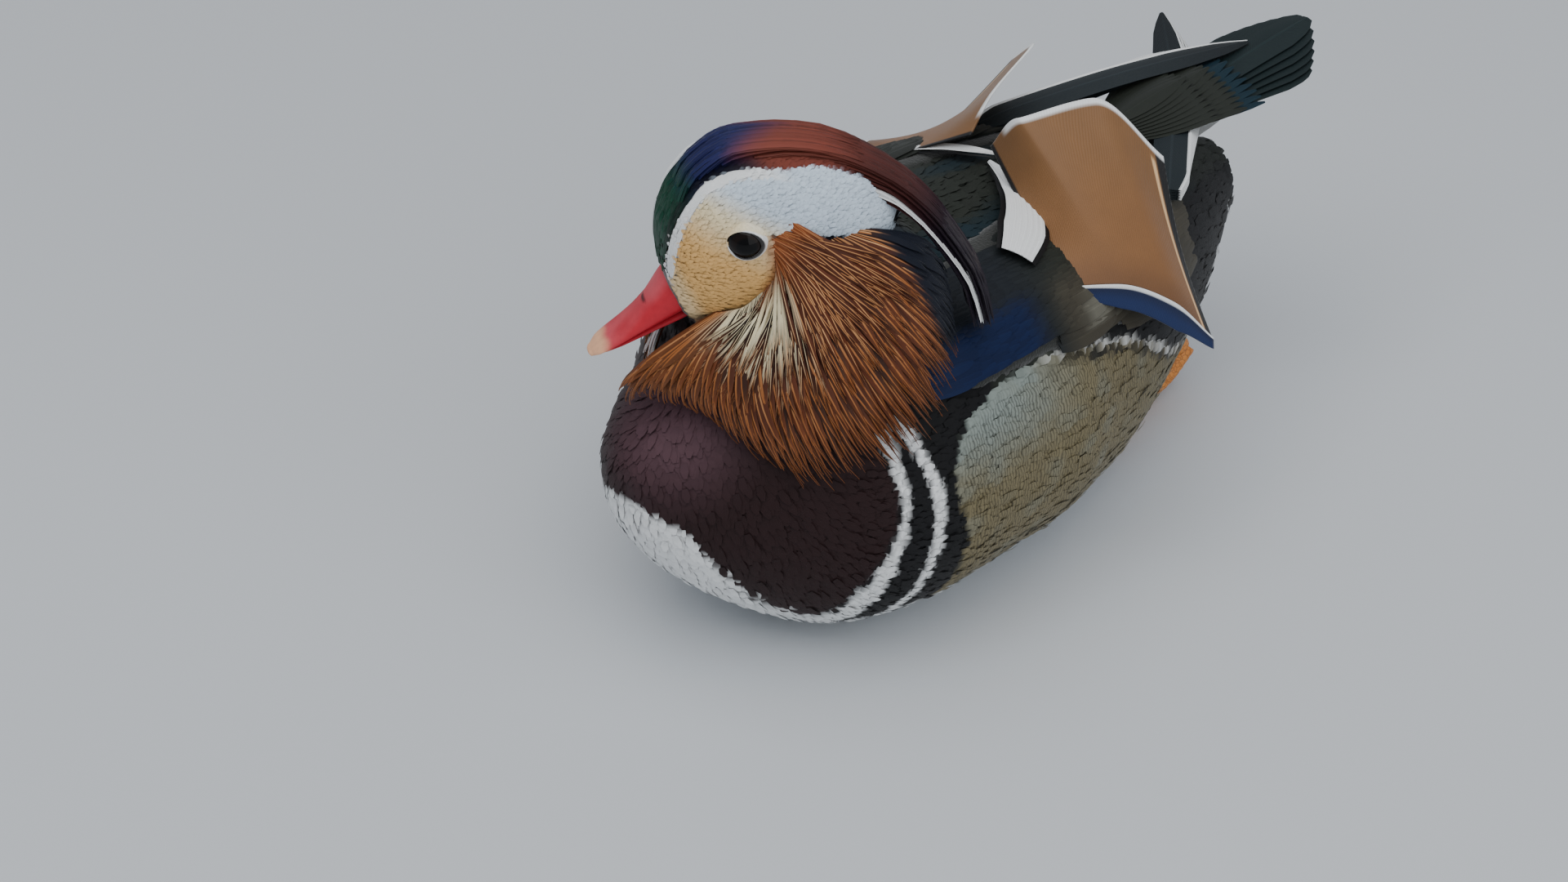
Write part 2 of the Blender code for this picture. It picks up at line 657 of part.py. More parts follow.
def wing_core(side):
    """The folded wing as a thin pad over the side of the back."""
    places = np.linspace(WING_EDGES[0][0], WING_EDGES[-1][0], 12)
    low, high = wing_edges(places)
    across = np.linspace(0, 1, 7)
    turn = low[:, None] + (high - low)[:, None] * across
    swell = np.sin(np.linspace(0.12, 0.94, len(places)) * math.pi)[:, None]
    depth = WING_RIM + WING_SWELL * swell * np.sin(across * math.pi) ** 0.7
    rest = np.full_like(turn, WING_REST)
    place = np.broadcast_to(places[:, None], turn.shape)
    upper, _ = over_torso(place, turn, rest + depth)
    lower, _ = over_torso(place, turn, rest)
    return slab("wing_left" if side > 0 else "wing_right", mirrored(upper, side), mirrored(lower, side))


def wing_tier(side, root_place, length, low, high, count, width, lift):
    """A row of vanes that overlap like tiles, each rolled a little so that its upper edge is covered."""
    vanes = []
    for index in range(count):
        part = index / max(count - 1, 1)
        turn = blend(low, high, part)
        places = np.linspace(root_place, root_place + length * (1 - 0.12 * part), 4)
        drift = np.linspace(0, -3, 4)
        heights = np.linspace(lift - COVERT_SINK, lift, 4)
        spine, facing = over_torso(places, turn + drift, heights)
        round_it = unit(np.cross(facing, np.gradient(spine, axis=0)))
        face = facing + round_it * COVERT_ROLL
        widths = width * np.array(COVERT_WIDTHS)
        vanes.append(vane(mirrored(spine, side), widths, mirrored(face, side), COVERT_THICK))
    return vanes


def make_wing(side):
    """Folded wing: pad, coverts, scapulars and secondaries in tiers."""
    vanes = [feather for tier in WING_TIERS for feather in wing_tier(side, *tier)]
    return combine(wing_core(side), vanes)


def sail_grid(side, columns=9, rows=7):
    """The sail's surface as a patch between its shaft, its top edge and its front and rear edges."""
    u = np.linspace(0, 1, columns)[:, None, None]
    v = np.linspace(0, 1, rows)[None, :, None]
    shaft = path(SAIL_SHAFT, columns)[:, None]
    top = path(SAIL_TOP if side > 0 else SAIL_TOP_RIGHT, columns)[:, None]
    front = blend(shaft[:1], top[:1], v)
    rear = blend(shaft[-1:], top[-1:], v)
    rear_bulge, bulge = ((SAIL_REAR_BULGE_LEFT, SAIL_BULGE_LEFT) if side > 0
                         else (SAIL_REAR_BULGE_RIGHT, SAIL_BULGE_RIGHT))
    rear = rear + unit(SAIL_REARWARD) * rear_bulge * np.sin(v * math.pi)
    ruled = blend(shaft, top, v)
    edges = blend(front, rear, u)
    corners = blend(blend(shaft[:1], shaft[-1:], u), blend(top[:1], top[-1:], u), v)
    outward = unit(SAIL_OUTWARD)
    grid = ruled + edges - corners + outward * bulge * np.sin(u * math.pi) * np.sin(v * math.pi)
    return grid, outward


def make_sail(side, wing, torso):
    """One sail with its narrow outer web and the quill that roots it in the wing."""
    name = "sail_left" if side > 0 else "sail_right"
    grid, outward = sail_grid(side)
    depth = SAIL_THICK / 2 * np.linspace(1.6, 0.8, grid.shape[1])[None, :, None]
    web = slab(name, mirrored(grid + outward * depth, side), mirrored(grid - outward * depth, side))
    shaft = grid[:, 0]
    drop = np.linspace(0.3, 1.2, len(shaft)) * np.sin(np.linspace(0.35, 0.92, len(shaft)) * math.pi)
    lower = shaft + np.array(SAIL_STRIP_HANG) * drop[:, None]
    strip = np.stack([shaft - outward * 0.2, lower], axis=1)
    away = unit(SAIL_STRIP_AWAY) * SAIL_THICK / 2
    outer = slab("web", mirrored(strip + away, side), mirrored(strip - away, side))
    quill_path = np.vstack([shaft[2::-1], shaft[0] + np.array(SAIL_QUILL_TURN)])
    quill = tube("quill", mirrored(quill_path, side), SAIL_QUILL_RADII, 8)
    sail = combine(web, [outer, quill])
    return combine(sail, [swollen(wing), swollen(torso)], "DIFFERENCE")


def make_primaries(side, neighbours):
    """The folded wing tip: long narrow vanes in a stack that crosses the rump."""
    name = "primaries_left" if side > 0 else "primaries_right"
    base, middle, tip = np.array(PRIMARIES_LEFT if side > 0 else PRIMARIES_RIGHT, float)
    ahead = unit(middle - base)
    outside = np.cross(ahead, (0, 0, 1)) * side
    start = base - ahead * 9 - (0, 0, 1.5)
    vanes = []
    for index in range(PRIMARY_VANES):
        drop = np.array([0, 0, -PRIMARY_STEP * index])
        spread = outside * PRIMARY_SPREAD * index
        end = blend(middle, tip, 1 - PRIMARY_SHORTER * index)
        spine = path([start + drop, base + drop, middle + drop + spread * 0.5, end + drop + spread], 5)
        widths = np.array(PRIMARY_WIDTHS) * (1 - 0.04 * index)
        vanes.append(vane(spine, widths, (0, 0, 1)))
    stack = PRIMARY_STEP * (PRIMARY_VANES - 1)
    root = path([start - ahead * 2, base - ahead * 3], 3) - (0, 0, stack / 2)
    tip_group = combine(tube(name, root, (stack / 2 + 0.8, stack / 2 + 1.4, stack / 2 + 0.8), 8), vanes)
    return combine(tip_group, [swollen(neighbour) for neighbour in neighbours], "DIFFERENCE")


def tail_vanes():
    """The tail feathers, each pair lower, shorter and wider apart than the one over it."""
    rise = math.radians(TAIL_RISE)
    steps = np.linspace(0, 1, len(TAIL_WIDTHS))
    vanes = []
    for rank in range(TAIL_VANES):
        for hand in (1, -1):
            angle = math.radians(TAIL_FAN * (rank + 0.4) / TAIL_VANES) * hand
            length = TAIL_LENGTH * (1 - TAIL_SHORTER * rank)
            ahead = np.array([math.sin(angle), math.cos(angle) * math.cos(rise), math.sin(rise)])
            level = np.array(TAIL_ROOT, float) - (0, 0, TAIL_STEP * (rank + (0.5 if hand < 0 else 0)))
            spine = level + ahead * length * steps[:, None]
            spine[:, 2] -= TAIL_SAG * steps ** 2
            vanes.append(vane(spine, TAIL_WIDTHS, (0, -math.sin(rise), math.cos(rise)), TAIL_THICK))
    return vanes


def tail_coverts():
    """A fan of short feathers over the roots of the tail, and one under them."""
    rise = math.radians(TAIL_RISE)
    vanes = []
    for rank in range(COVERTS):
        angle = math.radians((rank - (COVERTS - 1) / 2) * COVERT_ANGLE)
        for (away, length, widths), steeper in ((OVER_COVERT, 1), (UNDER_COVERT, UNDER_COVERT_RISE)):
            ahead = np.array([math.sin(angle), math.cos(angle) * math.cos(rise),
                              math.sin(rise) * COVERT_RISE * steeper])
            root = np.add(TAIL_ROOT, away) + (0, 0, 0.2 * (rank % 2))
            vanes.append(vane(root + ahead * np.linspace(0, length, 3)[:, None], widths, (0, 0, 1)))
    return vanes


def make_tail(neighbours):
    """Twelve tail feathers in a low fan, with coverts over and under the body that holds their roots."""
    core = tube("tail", path(TAIL_CORE, len(TAIL_CORE_RADII)), TAIL_CORE_RADII, 12)
    tail = combine(core, tail_vanes() + tail_coverts())
    return combine(tail, [swollen(neighbour) for neighbour in neighbours], "DIFFERENCE")


def make_foot(side, torso):
    """A webbed foot laid flat under the flank: three toes, the webs between them and a small hind toe."""
    name = "foot_left" if side > 0 else "foot_right"
    joint = np.array(FOOT_JOINT, float)
    ends = np.array(TOE_ENDS, float)
    toes = []
    for end in ends:
        toe = path([joint, blend(joint, end, 0.5) + (0, 0, 0.2), end], 4)
        toes.append(tube("toe", mirrored(toe, side), TOE_RADII, 6))
    spread = np.array([ends[0], blend(ends[0], ends[1], 0.5), ends[1], blend(ends[1], ends[2], 0.5), ends[2]])
    spread[[1, 3], 1] += WEB_SCALLOP
    fan = np.stack([blend(joint, spread, t) for t in (0.12, 0.5, 0.93)], axis=1)
    fan[..., 2] = WEB_HEIGHT
    half_thick = (0, 0, WEB_HALF_THICK)
    web = slab("web", mirrored(fan + half_thick, side), mirrored(fan - half_thick, side))
    hind = tube("toe", mirrored(path([joint, *HIND_TOE], 3), side), HIND_TOE_RADII, 6)
    foot = combine(web, toes + [hind])
    foot.name = foot.data.name = name
    floor_cut = solid_box("floor", (0, 10, -10), (200, 200, 20))
    return combine(foot, [swollen(torso), floor_cut], "DIFFERENCE")


def solid_box(name, centre, size):
    """A plain block."""
    corners = np.array([(x, y, z) for x in (-0.5, 0.5) for y in (-0.5, 0.5) for z in (-0.5, 0.5)])
    points = np.array(centre, float) + corners * size
    faces = [(0, 1, 3, 2), (4, 6, 7, 5), (0, 4, 5, 1), (2, 3, 7, 6), (0, 2, 6, 4), (1, 5, 7, 3)]
    triangles = [t for a, b, c, d in faces for t in ((a, b, c), (a, c, d))]
    return solid(name, points, triangles)


def make_leg(side, foot, torso):
    """The thigh's end, from the belly feathers back to the heel, and the shank forward to the foot."""
    name = "leg_left" if side > 0 else "leg_right"
    thigh = tube(name, mirrored(THIGH, side), THIGH_RADII, 8)
    shank = tube("shank", mirrored(SHANK, side), SHANK_RADII, 8)
    return combine(combine(thigh, [shank]), [swollen(foot), swollen(torso)], "DIFFERENCE")


COLOURS = {
    "torso": (0.16, 0.06, 0.07, 0.7), "neck": (0.05, 0.06, 0.09, 0.6), "head": (0.75, 0.62, 0.42, 0.7),
    "bill_upper": (0.75, 0.14, 0.16, 0.4), "bill_lower": (0.70, 0.16, 0.16, 0.4),
    "eye_left": (0.02, 0.015, 0.01, 0.1), "eye_right": (0.02, 0.015, 0.01, 0.1),
    "crest": (0.28, 0.09, 0.06, 0.5), "ruff": (0.55, 0.22, 0.06, 0.6), "wing": (0.05, 0.10, 0.20, 0.5),
    "sail": (0.72, 0.38, 0.12, 0.6), "primaries": (0.06, 0.11, 0.12, 0.5), "tail": (0.05, 0.10, 0.11, 0.5),
    "leg": (0.80, 0.42, 0.10, 0.5), "foot": (0.80, 0.42, 0.10, 0.5),
}


def paint(thing):
    """A Principled material of the part's own colour."""
    key = thing.name if thing.name in COLOURS else thing.name.split("_")[0]
    red, green, blue, roughness = COLOURS[key]
    material = bpy.data.materials.new(thing.name)
    material.use_nodes = True
    shader = material.node_tree.nodes["Principled BSDF"]
    shader.inputs["Base Color"].default_value = (red, green, blue, 1)
    shader.inputs["Roughness"].default_value = roughness
    shader.inputs["Metallic"].default_value = 0.0
    thing.data.materials.clear()
    thing.data.materials.append(material)


def main():
    """Builds the bird, one named object for each part."""
    for thing in list(bpy.data.objects):
        bpy.data.objects.remove(thing)
    torso = make_torso()
    neck_whole = make_neck_whole()
    skull = make_head_whole()
    parts = [torso]
    crest = make_crest(skull)
    parts.append(crest)
    wing_tips = []
    for side in (1, -1):
        wing = make_wing(side)
        parts += [wing, make_ruff(side, (skull, neck_whole, torso, crest, wing))]
        sail = make_sail(side, wing, torso)
        parts.append(sail)
        wing_tips.append(make_primaries(side, [wing, torso, sail] + wing_tips))
        foot = make_foot(side, torso)
        parts += [foot, make_leg(side, foot, torso)]
    parts += wing_tips + [make_tail([torso] + wing_tips)]
    bill = make_bill("bill_upper", BILL_UPPER, BILL_TIP, 9)
    bill = combine(bill, [nostril(1), nostril(-1)], "DIFFERENCE")
    lower = make_bill("bill_lower", BILL_LOWER, LOWER_TIP, 6)
    neck = combine(neck_whole, [swollen(torso), swollen(skull), swollen(lower)], "DIFFERENCE")
    head = skull
    sockets = []
    for side, name in ((1, "eye_left"), (-1, "eye_right")):
        look, over, ahead = eye_axes(side)
        facets = (look, over, ahead, EYE_RINGS, EYE_SIDES)
        parts.append(ball(name, eye_centre(side), EYE_BALL, *facets))
        sockets.append(ball("socket", eye_centre(side), EYE_BALL + GAP, *facets))
    head = combine(head, [lid_ring(1), lid_ring(-1)])
    head = combine(head, sockets, "DIFFERENCE")
    parts += [neck, head, bill, lower]
    for part in parts:
        paint(part)


main()
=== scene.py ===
# %% [markdown]
# # A mandarin duck drake, feather by feather
# The drake floats with his breast to the left of the picture and his head turned a little away from us.
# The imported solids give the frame: they say how large the bird is and where each part sits. Over them
# this file grows the looks: one skin for the flesh, and then the feathers in the order in which they
# overlap, with the bill, the eyes and the feet as pieces of their own.

# %% Load the frame
import math

import bmesh
import bpy
import numpy as np
from mathutils import Matrix


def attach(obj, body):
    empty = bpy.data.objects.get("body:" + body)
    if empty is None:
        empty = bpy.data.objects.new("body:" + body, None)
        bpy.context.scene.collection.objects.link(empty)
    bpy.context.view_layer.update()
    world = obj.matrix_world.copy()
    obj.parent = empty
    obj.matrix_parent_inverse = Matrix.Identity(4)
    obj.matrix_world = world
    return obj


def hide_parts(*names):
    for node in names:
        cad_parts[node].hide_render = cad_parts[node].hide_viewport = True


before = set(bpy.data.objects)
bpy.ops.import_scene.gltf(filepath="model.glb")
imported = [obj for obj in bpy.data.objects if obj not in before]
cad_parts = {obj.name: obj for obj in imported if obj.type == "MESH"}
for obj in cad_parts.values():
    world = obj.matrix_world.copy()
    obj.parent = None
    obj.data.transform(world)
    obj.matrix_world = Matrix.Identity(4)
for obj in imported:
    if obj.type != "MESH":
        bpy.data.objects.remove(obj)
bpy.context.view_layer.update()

MM = 0.001
random = np.random.default_rng(11)
print("the solids:", len(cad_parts), "nodes")

# %% [markdown]
# ## Curves and tables
# A bird's body has no simple formula, but a few measured sections joined by a smooth curve describe it
# well. Blender could loft such sections with curves. Here the tables are read with numpy, because the
# feathers must later ask the same tables where the skin is and which way it faces.

# %% Curves through tables of sizes


def smooth_rows(rows, at):
    """Values of a table at places in its first column: a cubic between two rows, whose slopes are the
    harmonic means of the rises beside them, so that it never overshoots."""
    table = np.array(rows, float)
    place, value = table[:, 0], table[:, 1:]
    step = np.diff(place)[:, None]
    rise = np.diff(value, axis=0) / step
    product = rise[:-1] * rise[1:]
    total = rise[:-1] + rise[1:]
    slope = np.zeros_like(value)
    slope[1:-1] = np.where(product > 0, 2 * product / np.where(total == 0, 1, total), 0)
    slope[0], slope[-1] = rise[0], rise[-1]
    at = np.asarray(at, float)
    cell = np.clip(np.searchsorted(place, at) - 1, 0, len(place) - 2)
    t = ((at - place[cell]) / step[cell, 0])[..., None]
    run = step[cell]
    return (value[cell] * (1 + 2 * t) * (1 - t) ** 2 + slope[cell] * run * t * (1 - t) ** 2
            + value[cell + 1] * (3 - 2 * t) * t ** 2 + slope[cell + 1] * run * (t - 1) * t ** 2)


def path(points, count):
    """A smooth curve through a few points, read at evenly spaced steps."""
    points = np.array(points, float)
    steps = np.arange(len(points))[:, None]
    return smooth_rows(np.hstack([steps, points]), np.linspace(0, len(points) - 1, count))


def table(rows, at):
    """One value from a table of two columns."""
    return smooth_rows(rows, at)[..., 0]


def unit(vectors):
    """The same vectors at length 1."""
    vectors = np.asarray(vectors, float)
    return vectors / np.maximum(np.linalg.norm(vectors, axis=-1, keepdims=True), 1e-9)


def blend(start, end, t):
    """A straight mix of two values, t from 0 to 1."""
    return start + (end - start) * t


def fade(value, start, end):
    """A smooth step: 0 before start, 1 after end, 3tt - 2ttt between them. start may be the larger."""
    t = np.clip((value - start) / (end - start), 0, 1)
    return t * t * (3 - 2 * t)


def ripple(points, size, seed):
    """A soft random field from -1 to 1: a sum of sine waves in random directions, each about size long."""
    draw = np.random.default_rng(seed)
    waves = unit(draw.normal(size=(9, 3))) * (2 * math.pi / size) * draw.uniform(0.7, 1.4, (9, 1))
    return np.sin(points @ waves.T + draw.uniform(0, 6.28, 9)).sum(axis=-1) / 4.5


# %% [markdown]
# ## The forms of the flesh
# These are the sizes of the solids, in millimetres: the sections of torso, neck and head, and the way the
# head is turned and dipped. They are repeated here because this file reads nothing but the frame.

# %% Torso, neck and head
TORSO = (
    (-148, 0.5, 10, 70, 58, 46), (-144, 0.5, 17, 75, 56, 38), (-137, 1.5, 24.5, 81, 54, 28),
    (-128, 3.5, 32.5, 88, 53, 19), (-118, 5.5, 40, 94, 52, 11), (-106, 5.5, 50, 100, 51, 4),
    (-92, 4, 57, 104, 50, 0), (-70, 1.5, 62.5, 106, 50, -2), (-35, 0, 62, 105.5, 50, -2),
    (-8, 0, 55, 103, 50, -1.2), (5, 0, 51, 101, 50.5, -0.2), (15, 0, 47.5, 99.5, 51, 4.5),
    (30, 0, 41, 97, 52, 11), (58, 0, 27, 88, 54, 27), (80, 0, 14, 78, 60, 46),
)
TORSO_START, TORSO_END = TORSO[0][0], TORSO[-1][0]
BREAST_TIP, RUMP_TIP = (0, -150, 58), (0, 88, 66)
TORSO_ROUNDNESS = 2.15
NECK = ((2, -77, 74, 36, 44), (3, -89, 92, 33, 38), (6, -99, 108, 26, 29), (10, -105, 122, 19.5, 21),
        (13, -108, 134, 15, 16))
HEAD_BASE = np.array([-4, -132, 122.5])
HEAD_TURN, HEAD_DIP = math.radians(33), math.radians(25)
HEAD = (
    (0, 8.0, 0.5, -16.0), (4, 10.5, 11.0, -17.5), (9, 13.5, 19.0, -19.0), (16, 16.2, 24.8, -20.5),
    (25, 18.0, 28.0, -22.0), (36, 18.5, 27.5, -24.0), (48, 17.5, 22.5, -25.0), (58, 14.0, 14.5, -22.0),
    (65, 8.0, 2.5, -15.0),
)
HEAD_END = HEAD[-1][0]
SKULL_TIP = (68, 0, -7)
EYE_PLACE = (27, 7)
HEAD_ROUNDNESS, HEAD_LEVEL = 2.2, 0.45
HEAD_LEVEL_FORWARD = np.array([-math.sin(HEAD_TURN), -math.cos(HEAD_TURN), 0])
HEAD_LEFT = np.array([math.cos(HEAD_TURN), -math.sin(HEAD_TURN), 0])
HEAD_FORWARD = HEAD_LEVEL_FORWARD * math.cos(HEAD_DIP) - np.array([0, 0, math.sin(HEAD_DIP)])
HEAD_UP = np.cross(HEAD_FORWARD, HEAD_LEFT)


def oval(turn, half_width, top, level, bottom, roundness):
    """A section rounder than an ellipse: the sine and cosine of the turn raised to 2 / roundness."""
    turn = np.radians(turn)
    power = 2 / roundness
    across = half_width * np.sign(np.cos(turn)) * np.abs(np.cos(turn)) ** power
    rise = np.where(np.sin(turn) > 0, top - level, level - bottom)
    return across, level + rise * np.sign(np.sin(turn)) * np.abs(np.sin(turn)) ** power


def torso_at(place, turn):
    """Points on the torso at a place along it and a turn about it: 0 left, 90 top, 180 right."""
    place, turn = np.broadcast_arrays(np.asarray(place, float), np.asarray(turn, float))
    rows = np.moveaxis(smooth_rows(TORSO, place), -1, 0)
    across, up = oval(turn, *rows[1:], TORSO_ROUNDNESS)
    return np.stack([across + rows[0], place, np.maximum(up, 0)], axis=-1)


def torso_place(points):
    """The reverse: place along the torso and turn about it of any points near its surface."""
    rows = smooth_rows(TORSO, np.clip(points[..., 1], TORSO_START, TORSO_END))
    centre, half, top, level, bottom = np.moveaxis(rows, -1, 0)
    out = (points[..., 0] - centre) / half
    up = points[..., 2] - level
    up = up / np.where(up > 0, top - level, level - bottom)
    power = TORSO_ROUNDNESS / 2
    turn = np.degrees(np.arctan2(np.sign(up) * np.abs(up) ** power, np.sign(out) * np.abs(out) ** power))
    return points[..., 1], turn


def over_torso(place, turn, lift):
    """Points a lift above the torso, with the way the torso faces there."""
    along = torso_at(np.add(place, 0.5), turn) - torso_at(np.subtract(place, 0.5), turn)
    round_it = torso_at(place, np.add(turn, 0.5)) - torso_at(place, np.subtract(turn, 0.5))
    facing = unit(np.cross(along, round_it))
    return torso_at(place, turn) + facing * np.asarray(lift, float)[..., None], facing


def on_head(back, left, up):
    """World points from places behind, left of and above the base of the bill's ridge."""
    back, left, up = (np.asarray(value, float)[..., None] for value in (back, left, up))
    return HEAD_BASE - HEAD_FORWARD * back + HEAD_LEFT * left + HEAD_UP * up


def head_place(points):
    """The reverse: how far points lie behind, left of and above that base."""
    away = np.asarray(points) - HEAD_BASE
    return -(away @ HEAD_FORWARD), away @ HEAD_LEFT, away @ HEAD_UP


def head_rows(back):
    """Half width, top, bottom and widest level of the head at a place behind the bill."""
    half, top, bottom = np.moveaxis(smooth_rows(HEAD, back), -1, 0)
    return half, top, bottom, blend(bottom, top, HEAD_LEVEL)


def head_arc(part):
    """The head's oval: how much is left of one half axis at a part of the other."""
    return (1 - np.clip(part, 0, 1) ** HEAD_ROUNDNESS) ** (1 / HEAD_ROUNDNESS)


def head_side(back, up):
    """How far to the side the face lies at a place behind the bill and a height."""
    half, top, bottom, level = head_rows(back)
    return half * head_arc(np.abs(up - level) / np.where(up > level, top - level, level - bottom))


def head_top(back, left):
    """How high the crown lies at a place behind the bill and a distance from the middle line."""
    half, top, bottom, level = head_rows(back)
    return level + (top - level) * head_arc(np.abs(left) / half)


# %% [markdown]
# ## From arrays to meshes
# Blender's own way in for large shapes is foreach_set, which copies whole arrays. Each shape below is a
# grid of points: one direction runs along, the other runs across or around.

# %% Mesh helpers


def put_mesh(name, points, *faces, crease=None):
    """A mesh object from millimetre points and arrays of faces, each array with faces of one size. Edges
    that fold by more than crease degrees stay sharp."""
    faces = [np.asarray(group, np.int32) for group in faces]
    sizes = np.concatenate([np.full(len(group), group.shape[1]) for group in faces])
    corners = np.concatenate([group.ravel() for group in faces])
    mesh = bpy.data.meshes.new(name)
    mesh.vertices.add(len(points))
    mesh.vertices.foreach_set("co", (np.asarray(points) * MM).astype(np.float32).ravel())
    mesh.loops.add(len(corners))
    mesh.loops.foreach_set("vertex_index", corners)
    mesh.polygons.add(len(sizes))
    mesh.polygons.foreach_set("loop_start", (np.cumsum(sizes) - sizes).astype(np.int32))
    mesh.polygons.foreach_set("use_smooth", np.ones(len(sizes), bool))
    mesh.update(calc_edges=True)
    if crease:
        mesh.set_sharp_from_angle(angle=math.radians(crease))
    thing = bpy.data.objects.new(name, mesh)
    bpy.context.scene.collection.objects.link(thing)
    return thing


def tint(thing, name, colours):
    """Gives every vertex a colour under a name that materials can read."""
    layer = thing.data.color_attributes.new(name, "FLOAT_COLOR", "POINT")
    layer.data.foreach_set("color", np.asarray(colours, np.float32).ravel())


def spread_map(thing, name, places):
    """A UV map from one place for each vertex."""
    layer = thing.data.uv_layers.new(name=name)
    corners = np.empty(len(thing.data.loops), np.int32)
    thing.data.loops.foreach_get("vertex_index", corners)
    layer.data.foreach_set("uv", np.asarray(places, np.float32)[corners].ravel())


def tube_faces(rings, sides):
    """Four-cornered faces between rings of points, and where the next point round the ring is."""
    ring = np.arange(rings - 1)[:, None] * sides
    side = np.arange(sides)[None, :]
    following = (side + 1) % sides
    corners = [ring + side, ring + following, ring + following + sides, ring + side + sides]
    return np.stack(corners, -1).reshape(-1, 4)


def loft(name, rings, first, last):
    """A closed skin over rings of equal count, drawn together at a pole beyond each end. The pole's faces
    are four-cornered too, with the pole named twice, so they are merged afterwards."""
    rings = np.asarray(rings, float)
    count, sides = rings.shape[:2]
    points = np.vstack([np.repeat([first], sides, 0), rings.reshape(-1, 3), np.repeat([last], sides, 0)])
    return put_mesh(name, points, tube_faces(count + 2, sides)[:, ::-1])


def merged(thing, distance=0.0002):
    """Joins points that coincide, and turns the faces outwards."""
    body = bmesh.new()
    body.from_mesh(thing.data)
    bmesh.ops.remove_doubles(body, verts=body.verts, dist=distance * MM)
    bmesh.ops.dissolve_degenerate(body, edges=body.edges, dist=distance * MM)
    bmesh.ops.recalc_face_normals(body, faces=body.faces)
    body.to_mesh(thing.data)
    body.free()
    return thing


def corners_of(thing):
    """A piece's points in millimetres and the way it faces at each."""
    count = len(thing.data.vertices)
    points, facing = np.empty(count * 3, np.float32), np.empty(count * 3, np.float32)
    thing.data.vertices.foreach_get("co", points)
    thing.data.vertex_normals.foreach_get("vector", facing)
    return points.reshape(-1, 3) / MM, facing.reshape(-1, 3).astype(float)


def joined(name, pieces):
    """Several closed meshes put together as one piece of triangles."""
    points, faces, start = [], [], 0
    for piece in pieces:
        merged(piece)
        place, _ = corners_of(piece)
        piece.data.calc_loop_triangles()
        triangles = np.empty(len(piece.data.loop_triangles) * 3, np.int32)
        piece.data.loop_triangles.foreach_get("vertices", triangles)
        points.append(place)
        faces.append(triangles.reshape(-1, 3) + start)
        start += len(place)
        bpy.data.objects.remove(piece)
    return put_mesh(name, np.vstack(points), np.vstack(faces))


# %% A piece for the frame
SIDES = ((1, "_left"), (-1, "_right"))


def finished(thing, *nodes, slot, material):
    """Hands a piece to the frame: it rides on the body, stands for its nodes and wears its material."""
    thing.data.materials.clear()
    thing.data.materials.append(material)
    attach(thing, "root")
    if nodes:
        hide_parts(*nodes)
    print(thing.name, len(thing.data.polygons), "faces")
    return thing


# %% [markdown]
# ## Materials as expressions
# Every finish is a small network of nodes. Written one node at a time it is hard to read, so this class
# wraps a socket: sums and products of shades then look like sums and products, and add the Math nodes
# they need. Colours go through Mix nodes, because a Math node would turn them grey.

# %% A socket that can be added and multiplied


class Shade:
    """One output in a material's nodes, or a plain start with no output."""

    def __init__(self, tree, socket=None):
        self.tree = tree
        self.socket = socket

    def node(self, kind, settings=None, sockets=None, output=0):
        """Adds a node: its settings first, then the values or links of its sockets."""
        made = self.tree.nodes.new(kind)
        for name, value in (settings or {}).items():
            setattr(made, name, value)
        for name, value in (sockets or {}).items():
            if isinstance(value, Shade):
                self.tree.links.new(value.socket, made.inputs[name])
            else:
                made.inputs[name].default_value = value
        return Shade(self.tree, made.outputs[output])

    def other(self, output):
        """Another output of the same node."""
        return Shade(self.tree, self.socket.node.outputs[output])

    def math(self, operation, first, second=0.0):
        """A Math node between two shades or numbers."""
        return self.node("ShaderNodeMath", {"operation": operation}, {0: first, 1: second})

    def __add__(self, other):
        return self.math("ADD", self, other)

    def __sub__(self, other):
        return self.math("SUBTRACT", self, other)

    def __rsub__(self, other):
        return self.math("SUBTRACT", other, self)

    def __mul__(self, other):
        return self.math("MULTIPLY", self, other)

    __radd__ = __add__
    __rmul__ = __mul__

    def sine(self):
        return self.math("SINE", self)

    def size(self):
        return self.math("ABSOLUTE", self)

    def fade(self, start, end):
        """0 at start, 1 at end, smooth between."""
        return self.node("ShaderNodeMapRange", {"interpolation_type": "SMOOTHSTEP"},
                         {"Value": self, "From Min": start, "From Max": end})

    def between(self, first, second):
        """A mix of two colours, with this shade as the factor."""
        return self.node("ShaderNodeMix", {"data_type": "RGBA"}, {0: self, 6: first, 7: second}, 2)

    def darker(self, by):
        """This colour times a grey shade."""
        grey = self.node("ShaderNodeCombineColor", None, {0: by, 1: by, 2: by})
        settings = {"data_type": "RGBA", "blend_type": "MULTIPLY"}
        return self.node("ShaderNodeMix", settings, {0: 1.0, 6: self, 7: grey}, 2)

    def layer(self, name):
        """A colour that comes with the mesh."""
        return self.node("ShaderNodeVertexColor", {"layer_name": name})

    def place(self):
        """The point on the object, in metres."""
        return self.node("ShaderNodeTexCoord", output="Object")

    def first(self):
        """The first of a place's three numbers; other() gives the rest."""
        return self.node("ShaderNodeSeparateXYZ", None, {0: self})

    def map(self, name):
        """The first number of a UV map; other() gives the second."""
        return self.node("ShaderNodeUVMap", {"uv_map": name}).first()

    def noise(self, scale, detail):
        """Soft noise at this place, with scale cells to a metre."""
        return self.node("ShaderNodeTexNoise", None, {"Vector": self, "Scale": scale, "Detail": detail})

    def bump(self, strength, distance):
        """The surface's direction once this height raises it."""
        return self.node("ShaderNodeBump", None, {"Strength": strength, "Distance": distance, "Height": self})


